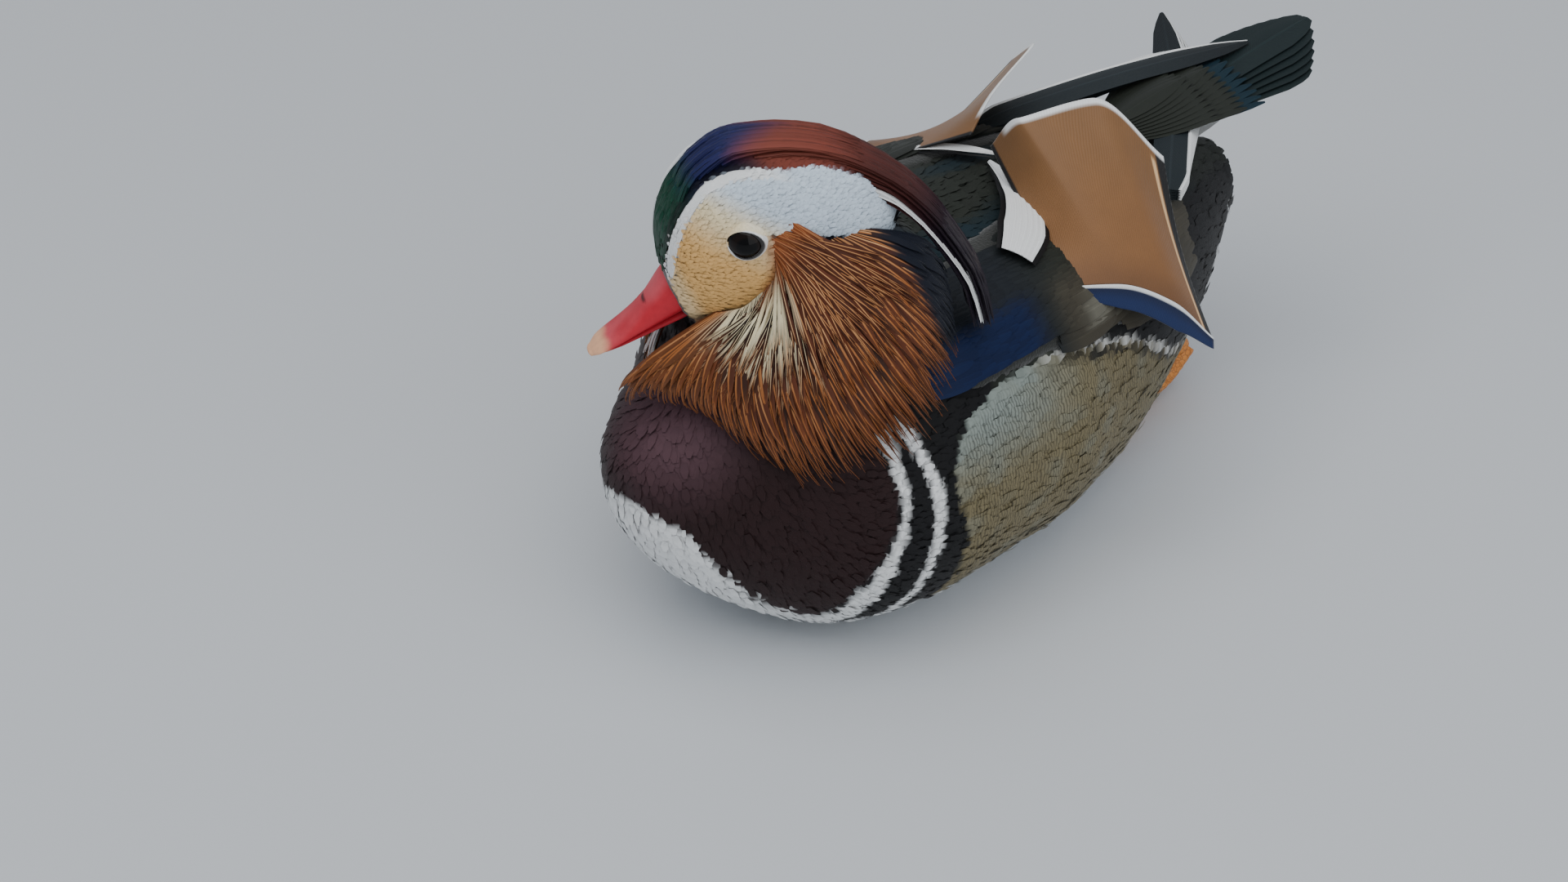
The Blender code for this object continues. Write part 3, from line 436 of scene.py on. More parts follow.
def material(name, **constants):
    """A new material with its Principled shader's constants set, and a start for its nodes."""
    made = bpy.data.materials.new(name)
    made.use_nodes = True
    shader = made.node_tree.nodes["Principled BSDF"]
    for socket, value in constants.items():
        shader.inputs[socket.replace("_", " ")].default_value = value
    return made, shader, Shade(made.node_tree)


def wire(made, shader, **links):
    """Links shades to the sockets of a material's Principled shader."""
    for socket, shade in links.items():
        made.node_tree.links.new(shade.socket, shader.inputs[socket.replace("_", " ")])
    return made


def seen(red, green, blue, more=1.0):
    """A colour given as it looks on a screen, 0 to 255, in the linear numbers that shading uses."""
    screen = np.array([red, green, blue]) / 255
    linear = np.where(screen < 0.04045, screen / 12.92, ((screen + 0.055) / 1.055) ** 2.4)
    return np.append(linear, more)


# %% [markdown]
# ## What a feather's surface does
# A feather is a shaft with two vanes of fine barbs, which run out and forward. Each vane below carries two
# maps: one runs from 0 to 1 across and along it, the other is in millimetres, so that barbs keep their
# width on large and small feathers alike. Its colour comes with the mesh. The alpha of that colour says
# how much metallic sheen the barbs have, as structural colours do.

# %% The feather finish
BAR_STEP = 0.0011


def feather_finish(name, barb, depth, shaft, roughness, sheen=0.08, wide=0.06, bumpy=0.3):
    """Colour from the mesh, thin barb lines that darken and raise the surface, a shaft of its own colour,
    and wavy cross bars where the shaft colour's alpha asks for them."""
    made, shader, start = material(name, Roughness=roughness, Sheen_Weight=sheen, Sheen_Roughness=0.4,
                                   Specular_IOR_Level=0.25)
    colour, shaft_colour = start.layer("tint"), start.layer("shaft")
    across, sized, place = start.map("vane"), start.map("barbs"), start.place()
    blotch, bend = place.noise(900.0, 3.0), place.noise(260.0, 2.0)
    lane = sized.other("Y") - sized.size() * 1.1
    waves = (lane * (2 * math.pi / barb) + blotch * 5.0).sine()
    middle = 1 - (across - 0.5).size().fade(wide * 0.4, wide)
    bars = (place.first().other("Y") * (2 * math.pi / BAR_STEP) + bend * 16.0).sine().fade(-0.2, 0.7)
    made_colour = colour.darker(1 - depth * 0.5 + waves * (depth * 0.35) + blotch * (depth * 0.4)
                                - bars * shaft_colour.other("Alpha") * 0.42)
    made_colour = (middle * shaft).between(made_colour, shaft_colour)
    return wire(made, shader, Base_Color=made_colour, Metallic=colour.other("Alpha"),
                Normal=(waves * 0.3 + middle * 0.6).bump(bumpy, 0.0003))


# %% [markdown]
# ## Many feathers as one mesh
# One feather could be modelled and scattered as instances, but the export drops instances. So each row
# of feathers is worked out as one array: a spine of points for each feather, the way its upper side looks,
# and half its width at each point. The section is a flat triangle: two edges and a raised crown.

# %% Vanes from arrays
PATCH = 0.003


def unwrap_place(points):
    """Where a point of the skin lies on its own unwrap: the turn about the body or head, and the place
    along it, with the head in a strip of its own."""
    place, turn = torso_place(points)
    back, left, up = head_place(points)
    around = np.degrees(np.arctan2(up + 4, left))
    body = np.stack([0.02 + 0.6 * (turn + 180) / 360, 0.02 + 0.94 * (place + 152) / 245], -1)
    head = np.stack([0.66 + 0.3 * (around + 180) / 360, 0.02 + 0.94 * (back + 5) / 90], -1)
    return np.where((points[..., 2] > 108)[..., None], head, body).clip(0.005, 0.99)


def vanes(name, spines, facing, half, colours, shafts=None, camber=0.25, thick=0.25, soft=0.0):
    """Feathers as one mesh, closed at root and tip. spines and facing are (feathers, steps, 3), half is
    (feathers, steps), colours and shafts are (feathers, steps, 4), or have one more place for the three
    corners of the section: left edge, crown and right edge. The crown stands camber half widths and the
    thickness over the edges. soft turns the shading from the feather's own shape towards facing."""
    spines = np.asarray(spines, float)
    count, steps = spines.shape[:2]
    along = unit(np.gradient(spines, axis=1))
    across = unit(np.cross(along, np.broadcast_to(facing, spines.shape)))
    above = np.cross(across, along)
    half = np.broadcast_to(half, (count, steps))[..., None]
    crown = above * (half * camber + thick)
    corners = np.stack([spines - across * half, spines + crown, spines + across * half], axis=2)
    sides = corners.shape[2]
    start = (np.arange(count) * steps * sides)[:, None, None]
    walls = (tube_faces(steps, sides)[None] + start).reshape(-1, 4)
    caps = (np.array([[2, 1, 0], np.arange(3) + (steps - 1) * sides])[None] + start).reshape(-1, 3)
    thing = put_mesh(name, corners.reshape(-1, 3), walls, caps, crease=50)
    if soft:
        own = np.stack([above - across * 0.3, above, above + across * 0.3], axis=2)
        normals = unit(blend(unit(own), np.broadcast_to(facing, spines.shape)[:, :, None], soft))
        thing.data.normals_split_custom_set_from_vertices(normals.reshape(-1, 3))
    shafts = colours * (1.5, 1.5, 1.5, 0) if shafts is None else shafts
    for layer, values in (("tint", colours), ("shaft", shafts)):
        values = values if np.ndim(values) == 4 else values[:, :, None]
        tint(thing, layer, np.broadcast_to(values, (count, steps, sides, 4)).reshape(-1, 4))
    lengths = np.cumsum(np.linalg.norm(np.diff(spines, axis=1, prepend=spines[:, :1]), axis=-1), axis=1)
    side = np.array([0, 0.5, 1])
    reach = lengths / lengths[:, -1:]
    flat = np.broadcast_to(reach[..., None], (count, steps, sides))
    spread_map(thing, "vane", np.stack([np.broadcast_to(side, flat.shape), flat], -1).reshape(-1, 2))
    wide = (side - 0.5) * 2 * half
    sized = np.stack([wide, np.broadcast_to(lengths[..., None], wide.shape)], -1)
    spread_map(thing, "barbs", sized.reshape(-1, 2))
    patch = np.stack([np.broadcast_to(side, flat.shape), flat], -1) * PATCH
    roots = unwrap_place(spines[:, 0])
    spread_map(thing, "OFBake", (roots[:, None, None] + patch).reshape(-1, 2))
    return thing


# %% [markdown]
# ## The markings
# A drake in breeding plumage is a map of sharp patches: maroon breast, two white bars, a pale barred
# flank, a white belly. The skin and all feathers over it must agree, so one function of place gives the
# colour, and both ask it. Edges wander a little, as feather tips do.

# %% Colours of the plumage
# The second maroon is a paler purple, painted on the upper front of the breast as a highlight.
MAROON, MAROON_PAINTED_HIGHLIGHT = seen(38, 18, 19, 0.05), seen(92, 66, 74, 0.15)
WHITE, SNOW = seen(238, 240, 240, 0), seen(206, 222, 236, 0)
BLACK = seen(10, 10, 13, 0)
FLANK, FLANK_COOL = seen(126, 116, 86, 0), seen(138, 148, 142, 0)
OLIVE, TEAL, ROYAL = seen(38, 42, 36, 0.1), seen(20, 46, 58, 0.3), seen(12, 29, 66, 0.3)
BUFF, CREAM, GINGER = seen(232, 182, 112, 0), seen(242, 230, 192, 0), seen(156, 84, 42, 0)
GREEN, VIOLET = seen(16, 66, 48, 0.35), seen(34, 38, 84, 0.3)
COPPER, WINE, PLUM = seen(120, 58, 46, 0.15), seen(74, 34, 30, 0.1), seen(26, 16, 30, 0.1)
NIGHT = seen(14, 20, 34, 0.2)
print("a maroon in linear light:", MAROON.round(3))

# %% Markings of the body
# Centre of the highlight painted on the breast, in millimetres.
PAINTED_HIGHLIGHT_PLACE = (5, -137, 82)
FIRST_BAR = ((-60, -113, -106), (-28, -109, -102.6), (-9, -104.6, -100.7), (2, -100.9, -98.4),
             (12, -99.3, -97.3), (22, -100.3, -97.3), (50, -104, -99))
SECOND_BAR = ((-60, -97, -92), (-23, -93.4, -89.6), (-7, -90.8, -87.5), (4, -89.9, -86.5), (14, -90.6, -87.2),
              (23, -92.7, -89.7), (50, -99, -95))
FLANK_START = ((-60, -84), (-25, -79.3), (-15, -78.4), (-5, -78.8), (3, -81.1), (12, -82.6), (26, -76),
               (32, -62))
FLANK_TOP = ((-90, 14), (-82, 18), (-76, 26.7), (-64, 31.3), (-43, 32), (-32, 31.6), (-22, 28), (-2.4, 19.3),
             (36, -11), (60, -25), (80, -35))
BELLY_TOP = ((-150, -9), (-145, -10), (-142, -18), (-137, -31), (-128, -46), (-118, -50), (-106, -50),
             (-95, -47), (-80, -42), (20, -40), (60, -14), (90, 6))


def lay(under, over, cover):
    """One colour over another where cover is 1."""
    return under + (over - under) * cover[..., None]


def within(value, low, high, soft):
    """1 between two limits, 0 outside, with soft edges."""
    return fade(value, low - soft, low + soft) * (1 - fade(value, high - soft, high + soft))


def height_round(turn):
    """Height round the body, -90 below to 90 above, from a turn about it: both sides alike."""
    return np.degrees(np.arcsin(np.clip(np.sin(np.radians(turn)), -1, 1)))


def limited(rows, at):
    """Values of a table whose first and last rows hold beyond its ends."""
    return smooth_rows(rows, np.clip(at, rows[0][0], rows[-1][0]))


def flank_limits(place, height):
    """Top, front and lower edge of the flank at a place along the body and a height round it."""
    return (limited(FLANK_TOP, place)[..., 0], limited(FLANK_START, height)[..., 0],
            limited(BELLY_TOP, place)[..., 0])


# %% Colour of the body


def flank_colour(points, place, height, top):
    """Buff grey, cooler in front, with a black and a white line along the rear of its top."""
    cool = fade(height, 2, 26) * (1 - fade(place, -64, -20)) + 0.25 * fade(ripple(points, 14, 4), 0, 1)
    flank = lay(FLANK, FLANK_COOL, np.clip(cool, 0, 1))
    flank = lay(flank, BLACK, within(height, top - 5, top - 2.5, 1) * fade(place, -50, -20) * 0.9)
    return lay(flank, WHITE, within(height, top - 1.8, top + 0.6, 0.6) * fade(place, -50, -25) * 0.7)


def body_colour(points):
    """Colour of the body by place along it and height round it."""
    place, turn = torso_place(points)
    height = height_round(turn)
    wander = ripple(points, 9, 1) * 0.5 + ripple(points, 3.2, 2) * 0.5
    top, front, belly = flank_limits(place, height)
    top, front = top + wander, front + wander
    colour = lay(OLIVE, TEAL, fade(ripple(points, 26, 3), -0.2, 0.5) * fade(height, 30, 60) * 0.7)
    colour = lay(colour, BLACK, fade(place, -30, 0) * (1 - fade(height, 40, 60)))
    on_flank = (1 - fade(height, top - 0.8, top + 0.8)) * fade(place, front - 0.4, front + 0.4)
    colour = lay(colour, flank_colour(points, place, height, top), on_flank)
    colour = lay(colour, BLACK, (1 - fade(place, front - 0.5, front + 0.3)) * (1 - fade(height, 52, 60)))
    # Round one point high on the breast's front the maroon turns paler purple: a painted highlight.
    maroon = lay(MAROON, MAROON_PAINTED_HIGHLIGHT, 1 - fade(np.linalg.norm(points - PAINTED_HIGHLIGHT_PLACE, axis=-1), 4, 34))
    start = limited(FIRST_BAR, height)[..., 0] + wander
    colour = lay(colour, maroon, 1 - fade(place, start - 1.4, start - 0.4))
    for bar in (FIRST_BAR, SECOND_BAR):
        low, high = np.moveaxis(limited(bar, height), -1, 0)
        frayed = wander * (0.4 + fade(-height, 0, 30))
        white = within(place, low + frayed, high + frayed, 0.25) * (1 - fade(height, 36, 46))
        colour = lay(colour, WHITE, white)
    ragged = belly + ripple(points, 5, 9) * 2.5 + ripple(points, 2.2, 6) * 3.5
    return lay(colour, WHITE, 1 - fade(height, ragged - 1.5, ragged + 1.5))


def barring(points):
    """How strongly the fine dark bars of the flank show."""
    place, turn = torso_place(points)
    height = height_round(turn)
    top, front, low = flank_limits(place, height)
    return within(height, low + 3, top - 4, 3) * fade(place, front, front + 4) * (points[..., 2] < 100)


# %% Markings of the head
CROWN_EDGE = ((0, 5.5), (3.6, 6.9), (8.6, 8.9), (15.4, 9.7), (23, 9.6), (31, 9.8), (38.5, 11.1), (44, 11.8),
              (52, 11), (58.7, 10.2), (63, 8.5), (70, 7))
FAR_BROW = 0.45
PATCH_LOW = ((30, 9.5), (33.4, 6.2), (39.8, 1.8), (47.6, -2.8), (55, -8.7), (62, -17), (70, -26))
RUFF_START = ((-24, 3), (-17, 4.2), (-15.5, 12), (-14.6, 20.5), (-9.2, 26.4), (-2.3, 31.4), (4.7, 32.6),
              (9, 34))


def head_colour(points):
    """Colour of the head by place behind the bill, distance from the middle line, and height."""
    back, left, up = head_place(points)
    side = np.abs(left)
    wander = ripple(points, 6, 7) * 0.3
    rising = back * 0.8 + up * 0.6
    colour = lay(BUFF, CREAM, fade(rising, 16, 30) * 0.85)
    colour = lay(colour, CREAM, (1 - fade(back, 3, 8)) * 0.5)
    colour = lay(colour, SNOW, fade(rising, 28, 37))
    start = limited(RUFF_START, up)[..., 0] + wander
    rust = fade(back, start - 5, start + 1) * (1 - fade(up, 4, 7)) * (1 - fade(back, 31, 33))
    colour = lay(colour, GINGER, rust)
    low = limited(PATCH_LOW, back)[..., 0]
    under = fade(back, 31, 34) * (1 - fade(up, low - 0.6, low + 0.2))
    colour = lay(colour, lay(GINGER, NIGHT, fade(back, 38, 46)), under)
    colour = lay(colour, BLACK, within(back, 33.2, 36.5, 0.6) * within(up, low - 0.6, low + 0.7, 0.3))
    far = fade(-left, 0, 4)
    edge = limited(CROWN_EDGE, back)[..., 0] * (1 - (1 - FAR_BROW) * far) + wander * 0.4
    brow = within(side, edge, edge + 2.0, 0.15) * fade(up, -2, 1) * (1 - fade(back, 38, 47))
    colour = lay(colour, WHITE, brow)
    crown = lay(GREEN, VIOLET, fade(back, 12, 22))
    crown = lay(crown, COPPER, fade(back, 30, 42))
    crown = lay(crown, WINE, fade(back, 52, 62))
    dusky = fade(side, edge - 3.2, edge - 0.8) * (1 - fade(back, 34, 44))
    crown = lay(crown, BLACK, dusky * 0.85)
    colour = lay(colour, crown, (1 - fade(side, edge - 0.25, edge + 0.25)) * fade(up, -6, -2))
    return lay(colour, BLACK, 1 - fade(back, 0.9, 1.5))


def plumage(points):
    """The colour of skin and small feathers anywhere on the bird."""
    back, left, up = head_place(points)
    on_neck = fade(points[..., 2], 92, 97) * (1 - fade(points[..., 1], -60, -50))
    neck = lay(NIGHT, TEAL, fade(ripple(points, 20, 8), -0.2, 0.8) * 0.6)
    neck = lay(neck, MAROON, 1 - fade(points[..., 1], -122, -112))
    colour = lay(body_colour(points), neck, on_neck)
    head = (back > -2) & (back < 69) & (up > -27) & (np.abs(left) < 26)
    return np.where(head[..., None], head_colour(points), colour)


# %% [markdown]
# ## One skin
# Torso, neck and head are separate solids, but on the bird one skin runs over all of them. The three
# forms are lofted closely and merged by a voxel remesh, which welds whatever overlaps. Smoothing rounds
# the creases between them. Then the skin is drawn in by the depth of the coat.

# %% The skin
COAT_DEPTH, LOWEST = 0.5, 0.3
BREAST_PLACES, RUMP_PLACES = (-149.4, -148.4, -147, -145, -142.5), (84, 87)


def torso_form():
    """Rings along the torso. Beyond its first and last section they shrink to the tip as a circle does."""
    places = np.concatenate([BREAST_PLACES, np.linspace(-140, TORSO_END, 88), RUMP_PLACES])
    turn = np.arange(96) * 3.75
    rings = torso_at(np.clip(places, TORSO_START, TORSO_END)[:, None], turn[None])
    for tip, end, beyond in ((BREAST_TIP, TORSO_START, places < TORSO_START),
                             (RUMP_TIP, TORSO_END, places > TORSO_END)):
        part = np.abs((places - end) / (tip[1] - end))[:, None, None]
        round_off = np.sqrt(np.clip(1 - part ** 2, 0, 1))
        domed = blend(np.array(tip, float), rings, round_off)
        domed[..., 1] = places[:, None]
        rings = np.where(beyond[:, None, None], domed, rings)
    return loft("torso_form", rings, BREAST_TIP, RUMP_TIP)


def neck_form():
    """Ellipses across the neck's curve."""
    rows = path(NECK, 24)
    centre = rows[:, :3]
    along = unit(np.gradient(centre, axis=0))
    side = unit(np.cross((0, -1, 0.2), along))
    front = np.cross(along, side)
    turn = np.radians(np.arange(60) * 6)
    rings = (centre[:, None] + side[:, None] * (rows[:, 3, None] * np.cos(turn))[..., None]
             + front[:, None] * (rows[:, 4, None] * np.sin(turn))[..., None])
    return loft("neck_form", rings, centre[0], centre[-1])


def head_form():
    """Ovals back along the head, which shrink to the skull's tip as a circle does."""
    places = np.concatenate([np.linspace(0, HEAD_END, 60), [66.5, 67.5]])
    half, top, bottom, level = (row[:, None] for row in head_rows(np.clip(places, 0, HEAD_END)))
    turn = np.arange(72)[None] * 5.0
    across, up = oval(turn, half, top, level, bottom, HEAD_ROUNDNESS)
    beyond = (places - HEAD_END) / (SKULL_TIP[0] - HEAD_END)
    shrink = np.sqrt(np.clip(1 - beyond.clip(0, 1) ** 2, 0, 1))[:, None]
    across, up = across * shrink, blend(SKULL_TIP[2], up, shrink)
    return loft("head_form", on_head(np.broadcast_to(places[:, None], up.shape), across, up),
                on_head(0, 0, -8), on_head(*SKULL_TIP))


def through(thing, kind, **settings):
    """Applies one modifier to a piece and keeps the result as its mesh."""
    change = thing.modifiers.new(kind.lower(), kind)
    for name, value in settings.items():
        setattr(change, name, value)
    bpy.context.view_layer.update()
    seen_now = thing.evaluated_get(bpy.context.evaluated_depsgraph_get())
    mesh = bpy.data.meshes.new_from_object(seen_now)
    thing.modifiers.clear()
    thing.data = mesh
    return thing


def flesh(voxel, smoothing):
    """Torso, neck and head welded into one closed form."""
    whole = joined("skin", [torso_form(), neck_form(), head_form()])
    through(whole, "REMESH", mode="VOXEL", voxel_size=voxel * MM, use_smooth_shade=True)
    return through(whole, "SMOOTH", factor=0.5, iterations=smoothing)


skin = flesh(1.2, 8)
points, facing = corners_of(skin)
sunk = points - facing * COAT_DEPTH
sunk[:, 2] = np.maximum(sunk[:, 2], LOWEST)
skin.data.vertices.foreach_set("co", (sunk * MM).astype(np.float32).ravel())
tint(skin, "tint", plumage(points))
print("skin", len(skin.data.polygons), "faces")

# %% [markdown]
# ## Finishes of skin and small feathers
# Between the small feathers the skin shows as down of the same colour. Fine noise in its colour and its
# bump keeps it soft. The small feathers use the feather finish with narrow barbs.

# %% Skin and coat finishes


def down_finish():
    """The mesh's colour with a fine grain that also raises the surface."""
    made, shader, start = material("down", Roughness=0.75, Sheen_Weight=0.4, Sheen_Roughness=0.5)
    grain = start.place().noise(1400.0, 4.0)
    return wire(made, shader, Base_Color=start.layer("tint").darker(0.7 + grain * 0.5),
                Normal=grain.bump(0.5, 0.0006))


DOWN = down_finish()
SMALL = feather_finish("small_feathers", barb=0.4, depth=0.2, shaft=0.0, roughness=0.66, bumpy=0.15)
finished(skin, "torso", "neck", "head", slot="body_feathers", material=DOWN)

# %% [markdown]
# ## The coat of small feathers
# Each small feather is a soft tile: it roots under the ones in front of it and its tip lies on those
# behind. A second remesh of the same form, coarser or finer, spreads the roots evenly. The lie of the
# coat is a field of directions: backwards along the body, down over breast and neck, and back over the
# head. They are smallest on the face.

# %% Where the feathers lie


def lie(points, facing):
    """Unit directions along the skin: back along the body, down the breast and neck, back over the head."""
    _, _, up = head_place(points)
    front = 1 - fade(points[..., 1], -140, -95)
    body = np.stack([np.zeros_like(front), 0.35 + 0.65 * (1 - front), -0.9 * front], -1)
    neck = np.array([0.0, 0.45, -0.9])
    head = -HEAD_FORWARD - 0.25 * HEAD_UP * fade(up, 6, -10)[..., None]
    flow = blend(body, neck, fade(points[..., 2], 86, 98)[..., None])
    flow = blend(flow, head, fade(points[..., 2], 104, 112)[..., None])
    return unit(flow - facing * (flow * facing).sum(-1, keepdims=True))


def roots_on_skin(voxel):
    """Places spread evenly over the whole form, and the way it faces at each."""
    form = flesh(voxel, 6)
    points, facing = corners_of(form)
    bpy.data.objects.remove(form)
    return points + random.normal(size=points.shape) * voxel * 0.25, facing


def small_feathers(name, points, facing, long, wide, slot):
    """Tiles of one length and width, in millimetres, rooted at points. The middle of a tile lies highest,
    and its root is darker."""
    along = lie(points, facing)
    across = np.cross(facing, along)
    along = unit(along + across * random.normal(size=(len(points), 1)) * 0.10)
    long = (long * random.uniform(0.85, 1.15, len(points)))[:, None, None]
    reach = np.array([-0.25, 0.35, 0.85])[None, :, None]
    rise = np.array([-COAT_DEPTH + 0.1, 0.0, -0.05])[None, :, None]
    rise = rise + random.uniform(-0.02, 0.02, (len(points), 1, 1))
    spines = points[:, None] + along[:, None] * long * reach + facing[:, None] * rise
    spines[..., 2] = np.maximum(spines[..., 2], LOWEST)
    half = np.full((len(points), 1), wide) / 2 * np.array([0.7, 1.0, 0.4])
    colours = plumage(spines)
    colours[:, 0, :3] *= 0.85
    colours[..., :3] *= random.uniform(0.95, 1.05, (len(points), 1, 1))
    shafts = np.concatenate([colours[..., :3], barring(spines)[..., None]], -1)
    tiles = vanes(name, spines, facing[:, None], half, colours, shafts, camber=0.04, thick=0.03, soft=0.95)
    return finished(tiles, slot=slot, material=SMALL)


# %% The coat of the head
HEAD_VOXEL, HEAD_TILE, HEAD_LOW = 0.84, (1.9, 1.3), 104
points, facing = roots_on_skin(HEAD_VOXEL)
back, left, up = head_place(points)
eye = np.hypot((back - EYE_PLACE[0] + 0.3) * 0.95, up - EYE_PLACE[1] - 1.3) < 4.5
crowned = (np.abs(left) < limited(CROWN_EDGE, back)[..., 0] - 5) & (back > 18) & (up > 0)
bearded = (back > limited(RUFF_START, up)[..., 0] + 8) & (up < limited(PATCH_LOW, back)[..., 0] - 5)
bare = eye | crowned | bearded
chosen = (back > 1.5) & (back < 62) & (up > -26) & (points[:, 2] > HEAD_LOW) & ~bare
small_feathers("coat_head", points[chosen], facing[chosen], *HEAD_TILE, "head_feathers")

# %% [markdown]
# The body's coat comes in five pieces from breast to rump, with feathers that grow longer to the rear.
# Where the folded wings lie on it, and under the belly's flat, there are none.

# %% The coat of the body
BODY_VOXEL = 1.36
COAT_REGIONS = (("breast", -200, -112, 4.0, 2.5), ("shoulder", -112, -66, 3.0, 2.2),
                ("flank", -66, -8, 4.2, 2.6), ("rear", -8, 30, 5.0, 2.8), ("rump", 30, 100, 5.5, 2.9))
points, facing = roots_on_skin(BODY_VOXEL)
place, turn = torso_place(points)
hidden = (np.abs(height_round(turn) - 51) < 14) & (np.abs(place + 20) < 50)
shown = ((points[:, 2] < HEAD_LOW) | (place > -80)) & (points[:, 2] > 2 * LOWEST) & ~hidden
for name, start, end, long, wide in COAT_REGIONS:
    chosen = shown & (place >= start) & (place < end)
    small_feathers("coat_" + name, points[chosen], facing[chosen], long, wide, "body_feathers")


# %% [markdown]
# ## The ruff
# The drake's beard is a fan of hackles: narrow pointed feathers with pale shafts that spring from the
# cheek and fall over neck and breast. Every hackle follows a line from the cheek, out over the neck, to
# its tip. Some hundreds of them lie in tiers, each a little apart. Shorter ones start on the cheek, on a
# line that curves from the chin to behind the eye.

# %% Ruff
RUFF_ROOTS = ((8, -12), (15, -12.5), (24, -9), (34, -4), (44, -1), (53, -5))
RUFF_TIPS_LEFT = ((-140, 112, 5), (-133, 74, 4), (-126, 38, 3), (-116, 20, 3), (-100, 23, 3.5), (-85, 30, 5),
                  (-73, 44, 7), (-66, 60, 12))
RUFF_TIPS_RIGHT = ((-136, 98, 3), (-131, 114, 2.5), (-124, 128, 2.5), (-114, 138, 2.5), (-102, 138, 3),
                   (-90, 130, 5), (-80, 118, 8), (-74, 106, 12))
RUFF_BULGE = {1: 9.0, -1: 5.0}
RUFF_EDGE = ((-75, 72), (-62, 65), (-50, 60), (-24, 61), (-10, 58), (-2, 54), (8, 50))
RUFF_LINE_POINTS, CHEEK_MIDDLE = 65, (34, 0, -8)
RUFF_TIERS = ((130, 1.0, -0.8, 0.45), (110, 0.88, 0.1, 0.8), (90, 0.74, 0.8, 1.0), (70, 0.55, 1.3, 1.1))
RUST, DARK_RUST = seen(96, 46, 22, 0), seen(46, 24, 15, 0)
TAN, PALE_SHAFT, SHADOW = seen(156, 92, 44, 0), seen(206, 154, 104, 0), seen(14, 11, 12, 0)


def through_points(table_rows, part):
    """A smooth curve through a few rows, read at any parts of it from 0 to 1."""
    rows = np.array(table_rows, float)
    steps = np.arange(len(rows))[:, None]
    return smooth_rows(np.hstack([steps, rows]), np.asarray(part) * (len(rows) - 1))


def bowed(first, middle, last, steps):
    """Curves from first over middle to last: middle is reached half way, and no kink shows there."""
    t = np.linspace(0, 1, steps)[None, :, None]
    control = middle * 2 - (first + last) / 2
    return first[:, None] * (1 - t) ** 2 + control[:, None] * (2 * t * (1 - t)) + last[:, None] * t ** 2


def gathered(groups):
    """Groups of feathers put together, array by array."""
    return [np.concatenate(arrays) for arrays in zip(*groups)]


# %% Lines and colours of the hackles


def ruff_lines(side, part, steps=RUFF_LINE_POINTS):
    """Hackle paths for parts round the fan, from the cheek (back, up) over the neck to tips on the torso
    (place, turn, lift), with the way outwards at every step."""
    back, up = through_points(RUFF_ROOTS, part).T
    root = on_head(back, side * head_rows(back)[0] * 0.93, up)
    place, turn, lift = through_points(RUFF_TIPS_LEFT if side > 0 else RUFF_TIPS_RIGHT, part).T
    tip, _ = over_torso(place, turn, lift)
    inside = on_head(40, 0, -30)
    middle = blend(root, tip, 0.5)
    middle = middle + unit(middle - inside) * RUFF_BULGE[side]
    spine = bowed(root, middle, tip, steps)
    deep, _ = over_torso(place, turn, -40)
    core = blend(inside, deep[:, None], np.linspace(0, 0.7, steps)[None, :, None])
    return spine, unit(spine - core)


def hackle_colours(part, along, tone, throat):
    """Vane and shaft colours: dark rust with a tan tip, striped black and cream at the throat."""
    vane = lay(DARK_RUST, RUST, tone)
    vane = lay(vane, TAN, fade(along, 0.7, 1.0) * 0.35)
    vane = lay(vane, TAN, (1 - fade(part, 0.1, 0.3)) * 0.3)
    vane = lay(vane, SHADOW, fade(part, 0.86, 1.0) * 0.7)
    vane = lay(vane, SHADOW, throat * 0.9)
    vane = lay(vane, CREAM, throat * (tone > 0.7))
    return vane, lay(lay(TAN, PALE_SHAFT, tone * (1 - fade(along, 0.4, 0.9))), CREAM, throat)


# %% Hackles in tiers


def hackles(side):
    """One half of the fan, in tiers: count, reach, lift and half width of each."""
    steps = 12
    along = np.linspace(0, 1, steps)
    groups = []
    for count, reach, raised, wide in RUFF_TIERS:
        part = 0.01 + 0.98 * (np.arange(count) + random.uniform(0.1, 0.9, count)) / count
        line, out = ruff_lines(side, part)
        ends = reach * random.uniform(0.86, 1.0, count)
        pick = (along[None] * ends[:, None] * (RUFF_LINE_POINTS - 1)).round().astype(int)
        rows = np.arange(count)[:, None]
        spine, facing = line[rows, pick], out[rows, pick]
        lift = blend(-0.8, raised + random.uniform(-0.3, 0.6, (count, 1)), np.sin(along * math.pi / 2))
        sway = np.cross(facing, unit(np.gradient(spine, axis=1))) * random.normal(size=(count, 1, 1)) * 1.6
        spine = spine + facing * lift[..., None] + sway * along[None, :, None] ** 2
        shape = (0.7 + 0.75 * np.sin(along * math.pi * 0.62)) * (1 - fade(along, 0.66, 1.02) * 0.95)
        half = wide * shape[None] * random.uniform(0.8, 1.15, (count, 1))
        throat = (1 - fade(along, 0.15, 0.5))[None] * within(part, 0.12, 0.66, 0.08)[:, None]
        tone = random.uniform(0, 1, (count, 1)) * min(1.0, wide)
        vane, shaft = hackle_colours(part[:, None], along, tone, throat)
        if side < 0:
            rim = (1 - fade(part, 0.12, 0.3))[:, None] * fade(along, 0.45, 0.65)[None]
            vane = lay(lay(vane, SHADOW, rim), WHITE, rim * (tone > 0.5 * min(1.0, wide)))
        back, _, up = head_place(spine)
        beyond = fade(back - limited(RUFF_EDGE, up)[..., 0], -1, 1.5)
        half = half * (1 - 0.45 * throat)
        groups.append((spine, facing, half, lay(vane, NIGHT, beyond), lay(shaft, NIGHT, beyond)))
    return groups


